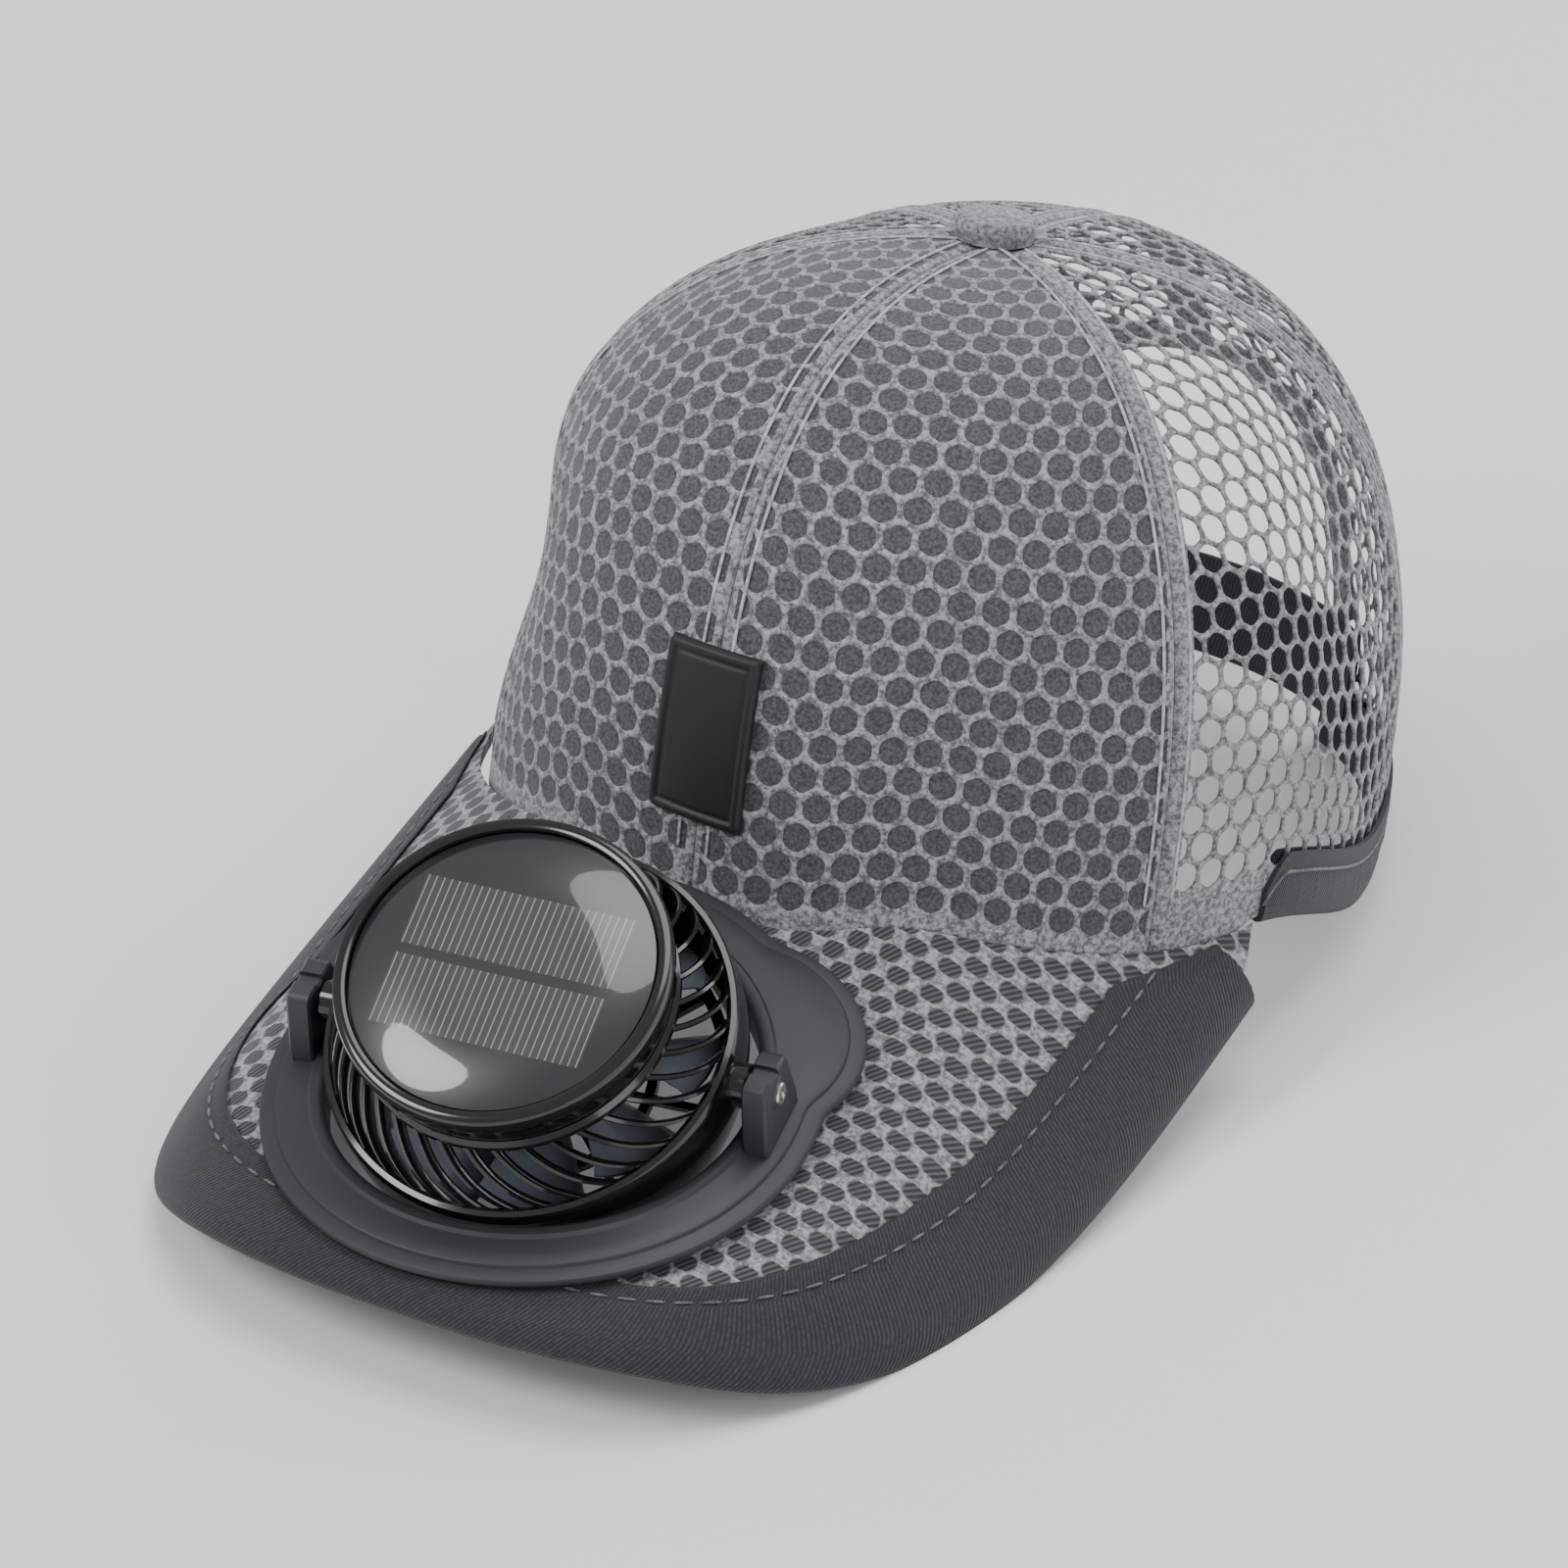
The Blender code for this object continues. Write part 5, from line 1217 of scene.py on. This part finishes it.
def addGuard():
    # Grille under the blades: two rings on straight bars.
    rim = ballRadius(housing["foot"]) - guard["edgeGap"]
    top, low, hub = guard["top"], guard["low"], guard["hub"]
    pieces = [revolve([(0, top + 0.3), (hub - 1.0, top + 0.3), (hub, top), (hub, low), (0, low)], 60)]
    for inner, outer, columns in ((rim - 2.2, rim, 120), (guard["ringInner"], guard["ringOuter"], 96)):
        pieces.append(ringShell([(inner, top), (outer, top), (outer, low), (inner, low)], columns))
    for bar in range(guard["bars"]):
        turn = 2 * pi * bar / guard["bars"]
        along, across = Vector((cos(turn), sin(turn), 0)), Vector((-sin(turn), cos(turn), 0))
        sections = [[tuple(along * r + across * a * guard["barHalf"] + Vector((0, 0, z))) for a, z in
                     ((-1, top), (1, top), (1, low), (-1, low))] for r in (hub - 0.5, rim - 1.5)]
        pieces.append(loft(sections))
    points, faces = mergePieces(pieces)
    addPiece("fan_guard", placed(points, fanPlace), faces, glossPlastic, "fan", ["fan_guard"])


drum = dict(top=27.2, lipRadius=29.8, lipFoot=23.9, wallRadius=28.4, foot=17.7, recessRadius=27.3,
            recessFloor=25.1, motorRadius=12.0, motorFoot=7.5, shaftRadius=1.2, shaftFoot=2.8)  # mm
clipTurns = (-118, -96, -62, -30, 14, 60, 130, 200)  # degrees round the drum's wall


def addHead():
    # Drum with a raised lip, notched wall and motor below.
    top, lip, wall, foot = drum["top"], drum["lipRadius"], drum["wallRadius"], drum["foot"]
    motor, shaft, recess = drum["motorRadius"], drum["shaftRadius"], drum["recessRadius"]
    profile = [(0, drum["shaftFoot"]), (shaft, drum["shaftFoot"]), (shaft, drum["motorFoot"]),
               (motor - 1.0, drum["motorFoot"]), (motor, drum["motorFoot"] + 0.7), (motor, foot - 3.0),
               (wall - 4.9, foot - 2.3), (wall - 4.3, foot), (wall - 0.8, foot), (wall - 0.1, foot + 0.5),
               (wall, foot + 1.3), (wall, drum["lipFoot"] - 1.6), (wall + 0.3, drum["lipFoot"] - 1.0),
               (lip - 0.3, drum["lipFoot"] - 0.6), (lip, drum["lipFoot"]), (lip, top - 1.1),
               (lip - 0.3, top - 0.4), (lip - 1.0, top), (recess + 0.6, top), (recess + 0.15, top - 0.2),
               (recess, top - 0.5), (recess, drum["recessFloor"]), (0, drum["recessFloor"])]
    pieces = [revolve(profile, 180)]
    for turn in [radians(a) for a in clipTurns]:
        radial, along = Vector((cos(turn), sin(turn), 0)), Vector((-sin(turn), cos(turn), 0))
        sections = [[tuple(radial * r + along * a + Vector((0, 0, z))) for a, z in
                     ((-1.9, 18.6), (1.9, 18.6), (1.9, 21.4), (-1.9, 21.4))] for r in (27.9, 28.75)]
        pieces.append(loft(sections))
    points, faces = mergePieces(pieces)
    addPiece("solar_head", placed(points, fanPlace), faces, glossPlastic, "fan", ["solar_head"],
             smoothAngle=35)


cells = dict(halfWidth=19.6, gap=1.0, depth=13.6, turn=-1.5, lineStep=1.42, lineWidth=0.20,
             discRadius=27.0, discFoot=25.4, discTop=26.4)  # mm


def cellMaterial():
    # Two blocks of dark cells under clear resin, with fine pale collector lines.
    material, shader = newMaterial("solar_cells_under_resin", 0.32, Coat_Weight=1.0, Coat_Roughness=0.04)
    tree = material.node_tree
    spot = addNode(tree, "ShaderNodeUVMap", uv_map="millimetres").outputs[0]
    parts = addNode(tree, "ShaderNodeSeparateXYZ", {0: spot})
    u, v = parts.outputs[0], maths(tree, "ABSOLUTE", parts.outputs[1])
    inside = maths(tree, "MULTIPLY", maths(tree, "LESS_THAN", maths(tree, "ABSOLUTE", u), cells["halfWidth"]),
                   maths(tree, "MULTIPLY", maths(tree, "GREATER_THAN", v, cells["gap"]),
                         maths(tree, "LESS_THAN", v, cells["gap"] + cells["depth"])))
    beside = maths(tree, "ABSOLUTE", maths(tree, "SUBTRACT", maths(
        tree, "FLOORED_MODULO", u, cells["lineStep"]), cells["lineStep"] / 2))
    line = maths(tree, "LESS_THAN", beside, cells["lineWidth"] / 2)
    inner = maths(tree, "MULTIPLY", line, inside)
    base = blendColour(tree, inside, colour("1b1c1e"), colour("343536"))
    tree.links.new(blendColour(tree, inner, base, colour("8c8a86")), shader.inputs["Base Color"])
    return material


def addSolarPanel():
    radius, foot, top = cells["discRadius"], cells["discFoot"], cells["discTop"]
    points, faces = revolve([(0, foot), (radius, foot), (radius, top - 0.2), (radius - 0.2, top), (13, top),
                             (0, top)], 144)
    swing = radians(cells["turn"])
    uv = [(x * cos(swing) + y * sin(swing), -x * sin(swing) + y * cos(swing)) for x, y, z in points]
    addPiece("solar_panel", placed(points, fanPlace), faces, cellMaterial(), "fan", ["solar_panel"],
             uv)


rotor = dict(blades=9, span=33.0, lead=10.0, bore=1.5, hubRadius=11.0, hubTop=6.8, hubFoot=-6.0,
             root=9.8, tip=31.8, bladeTop=3.0, bladeFoot=-7.5, bladeThickness=1.1)  # mm and degrees


def addImpeller():
    hub, top, foot = rotor["hubRadius"], rotor["hubTop"], rotor["hubFoot"]
    pieces = [ringShell([(rotor["bore"], top), (hub - 1.2, top), (hub - 0.3, top - 0.4), (hub, top - 1.2),
                         (hub, foot + 0.8), (hub - 0.4, foot + 0.2), (hub - 1.0, foot),
                         (rotor["bore"], foot)], 96)]
    for blade in range(rotor["blades"]):
        base = 360 / rotor["blades"] * blade
        sections = []
        for share in np.linspace(0, 1, 9):
            radius = mix(rotor["root"], rotor["tip"], share)
            span, lead = rotor["span"] * mix(0.80, 1.0, share), base - rotor["lead"] * share
            upper, lower = [], []
            for edge in np.linspace(0, 1, 11):
                turn = radians(lead + span * edge)
                height = mix(rotor["bladeTop"], rotor["bladeFoot"], edge) * mix(0.9, 1.0, share)
                height += 1.2 * sin(pi * edge)
                thick = rotor["bladeThickness"] * (0.45 + 0.55 * sin(pi * clamp(edge, 0.04, 0.96)))
                r = radius - 1.2 * (abs(edge - 0.5) * 2) ** 4 * (share > 0.9)
                upper.append((r * cos(turn), r * sin(turn), height))
                lower.append((r * cos(turn), r * sin(turn), height - thick))
            sections.append(upper + lower[::-1])
        pieces.append(loft(sections))
    points, faces = mergePieces(pieces)
    addPiece("impeller", placed(points, fanPlace), faces, bladePlastic, "impeller", ["impeller"])


screw = dict(start=37.0, shaftRadius=1.2, headStart=45.15, headEnd=45.8, headRadius=2.1,
             crossDepth=0.35)  # mm


def addScrews():
    for name, side in (("pivot_screw_left", 1), ("pivot_screw_right", -1)):
        lift, first, last = fan["pivotHeight"] * 1000, screw["headStart"], screw["headEnd"]
        shaft = cylinderAlong(side, screw["start"], first + 0.05, screw["shaftRadius"], screw["shaftRadius"],
                              lift, 24)
        sections, count = [], 48
        for u, r in ((first, screw["headRadius"]), (last - 0.3, screw["headRadius"]), (last, 1.75),
                     (last, 1.05), (last - screw["crossDepth"], 0.9)):
            ring = []
            for k in range(count):
                turn = 2 * pi * k / count
                cross = 0.55 if (k * 8 // count) % 2 else 1.0
                radius = r * (cross if r < 1.1 else 1.0)
                ring.append((u * side, radius * cos(turn), lift + radius * sin(turn)))
            sections.append(ring)
        points, faces = mergePieces([shaft, loft(sections)])
        addPiece(name, placed(points, platePlace), faces, screwSteel, "hat", [name],
                 smoothAngle=30)


addPlate()
addHousing()
addGuard()
addHead()
addSolarPanel()
addImpeller()
addScrews()
printStage("fan")

# Stage, lights and camera

def addStage():
    floorMaterial, floorShader = newMaterial("pale_floor", 0.65)
    floorShader.inputs["Base Color"].default_value = colour("efeff0")
    mesh = bpy.data.meshes.new("floor")
    points, curve = [], 1.2  # the floor turns up into the backdrop over this radius
    for x in (-4.0, 4.0):
        points += [(x, -4.0, 0.0), (x, curve, 0.0)]
        for k in range(1, 13):
            turn = pi / 2 * k / 12
            points.append((x, curve + curve * sin(turn), curve - curve * cos(turn)))
        points.append((x, 2 * curve, 5.0))
    size = len(points) // 2
    faces = [(k, k + 1, size + k + 1, size + k) for k in range(size - 1)]
    mesh.from_pydata(points, [], faces)
    mesh.shade_smooth()
    mesh.materials.append(floorMaterial)
    floor = bpy.data.objects.new("floor", mesh)
    bpy.context.scene.collection.objects.link(floor)


def addLight(name, place, target, size, power, tint=(1, 1, 1)):
    data = bpy.data.lights.new(name, "AREA")
    data.shape, data.size, data.energy, data.color = "DISK", size, power, tint
    light = bpy.data.objects.new(name, data)
    light.location = place
    light.rotation_euler = (Vector(target) - Vector(place)).to_track_quat("-Z", "Y").to_euler()
    bpy.context.scene.collection.objects.link(light)


addStage()
addLight("key", (-0.9, -1.2, 1.5), (0, -0.02, 0.06), 0.9, 22)
addLight("fill", (1.5, -0.9, 0.9), (0, 0, 0.06), 1.2, 9)
addLight("top", (0.1, 0.3, 1.7), (0, 0, 0.05), 1.2, 14)
addLight("behind", (0.6, 1.6, 0.9), (0, 0, 0.06), 1.2, 12)
world = bpy.data.worlds.new("studio")
bpy.context.scene.world = world
world.use_nodes = True
world.node_tree.nodes["Background"].inputs[0].default_value = (1, 1, 1, 1)
world.node_tree.nodes["Background"].inputs[1].default_value = 0.55

cameraData = bpy.data.cameras.new("photo_camera")
cameraData.lens, cameraData.sensor_width = 163.3, 36.0
camera = bpy.data.objects.new("photo_camera", cameraData)
bpy.context.scene.collection.objects.link(camera)
bpy.context.scene.camera = camera
# The photo's camera, found against the cap's outline at a tilt of 10.75 degrees
fitted = Matrix(((0.85915, -0.24919, 0.44697, 0.5762), (0.51174, 0.41836, -0.75041, -1.0176),
                 (0.0, 0.87343, 0.48695, 0.6571), (0, 0, 0, 1)))
camera.matrix_world = stand @ Matrix.Rotation(radians(10.75), 4, "X") @ fitted
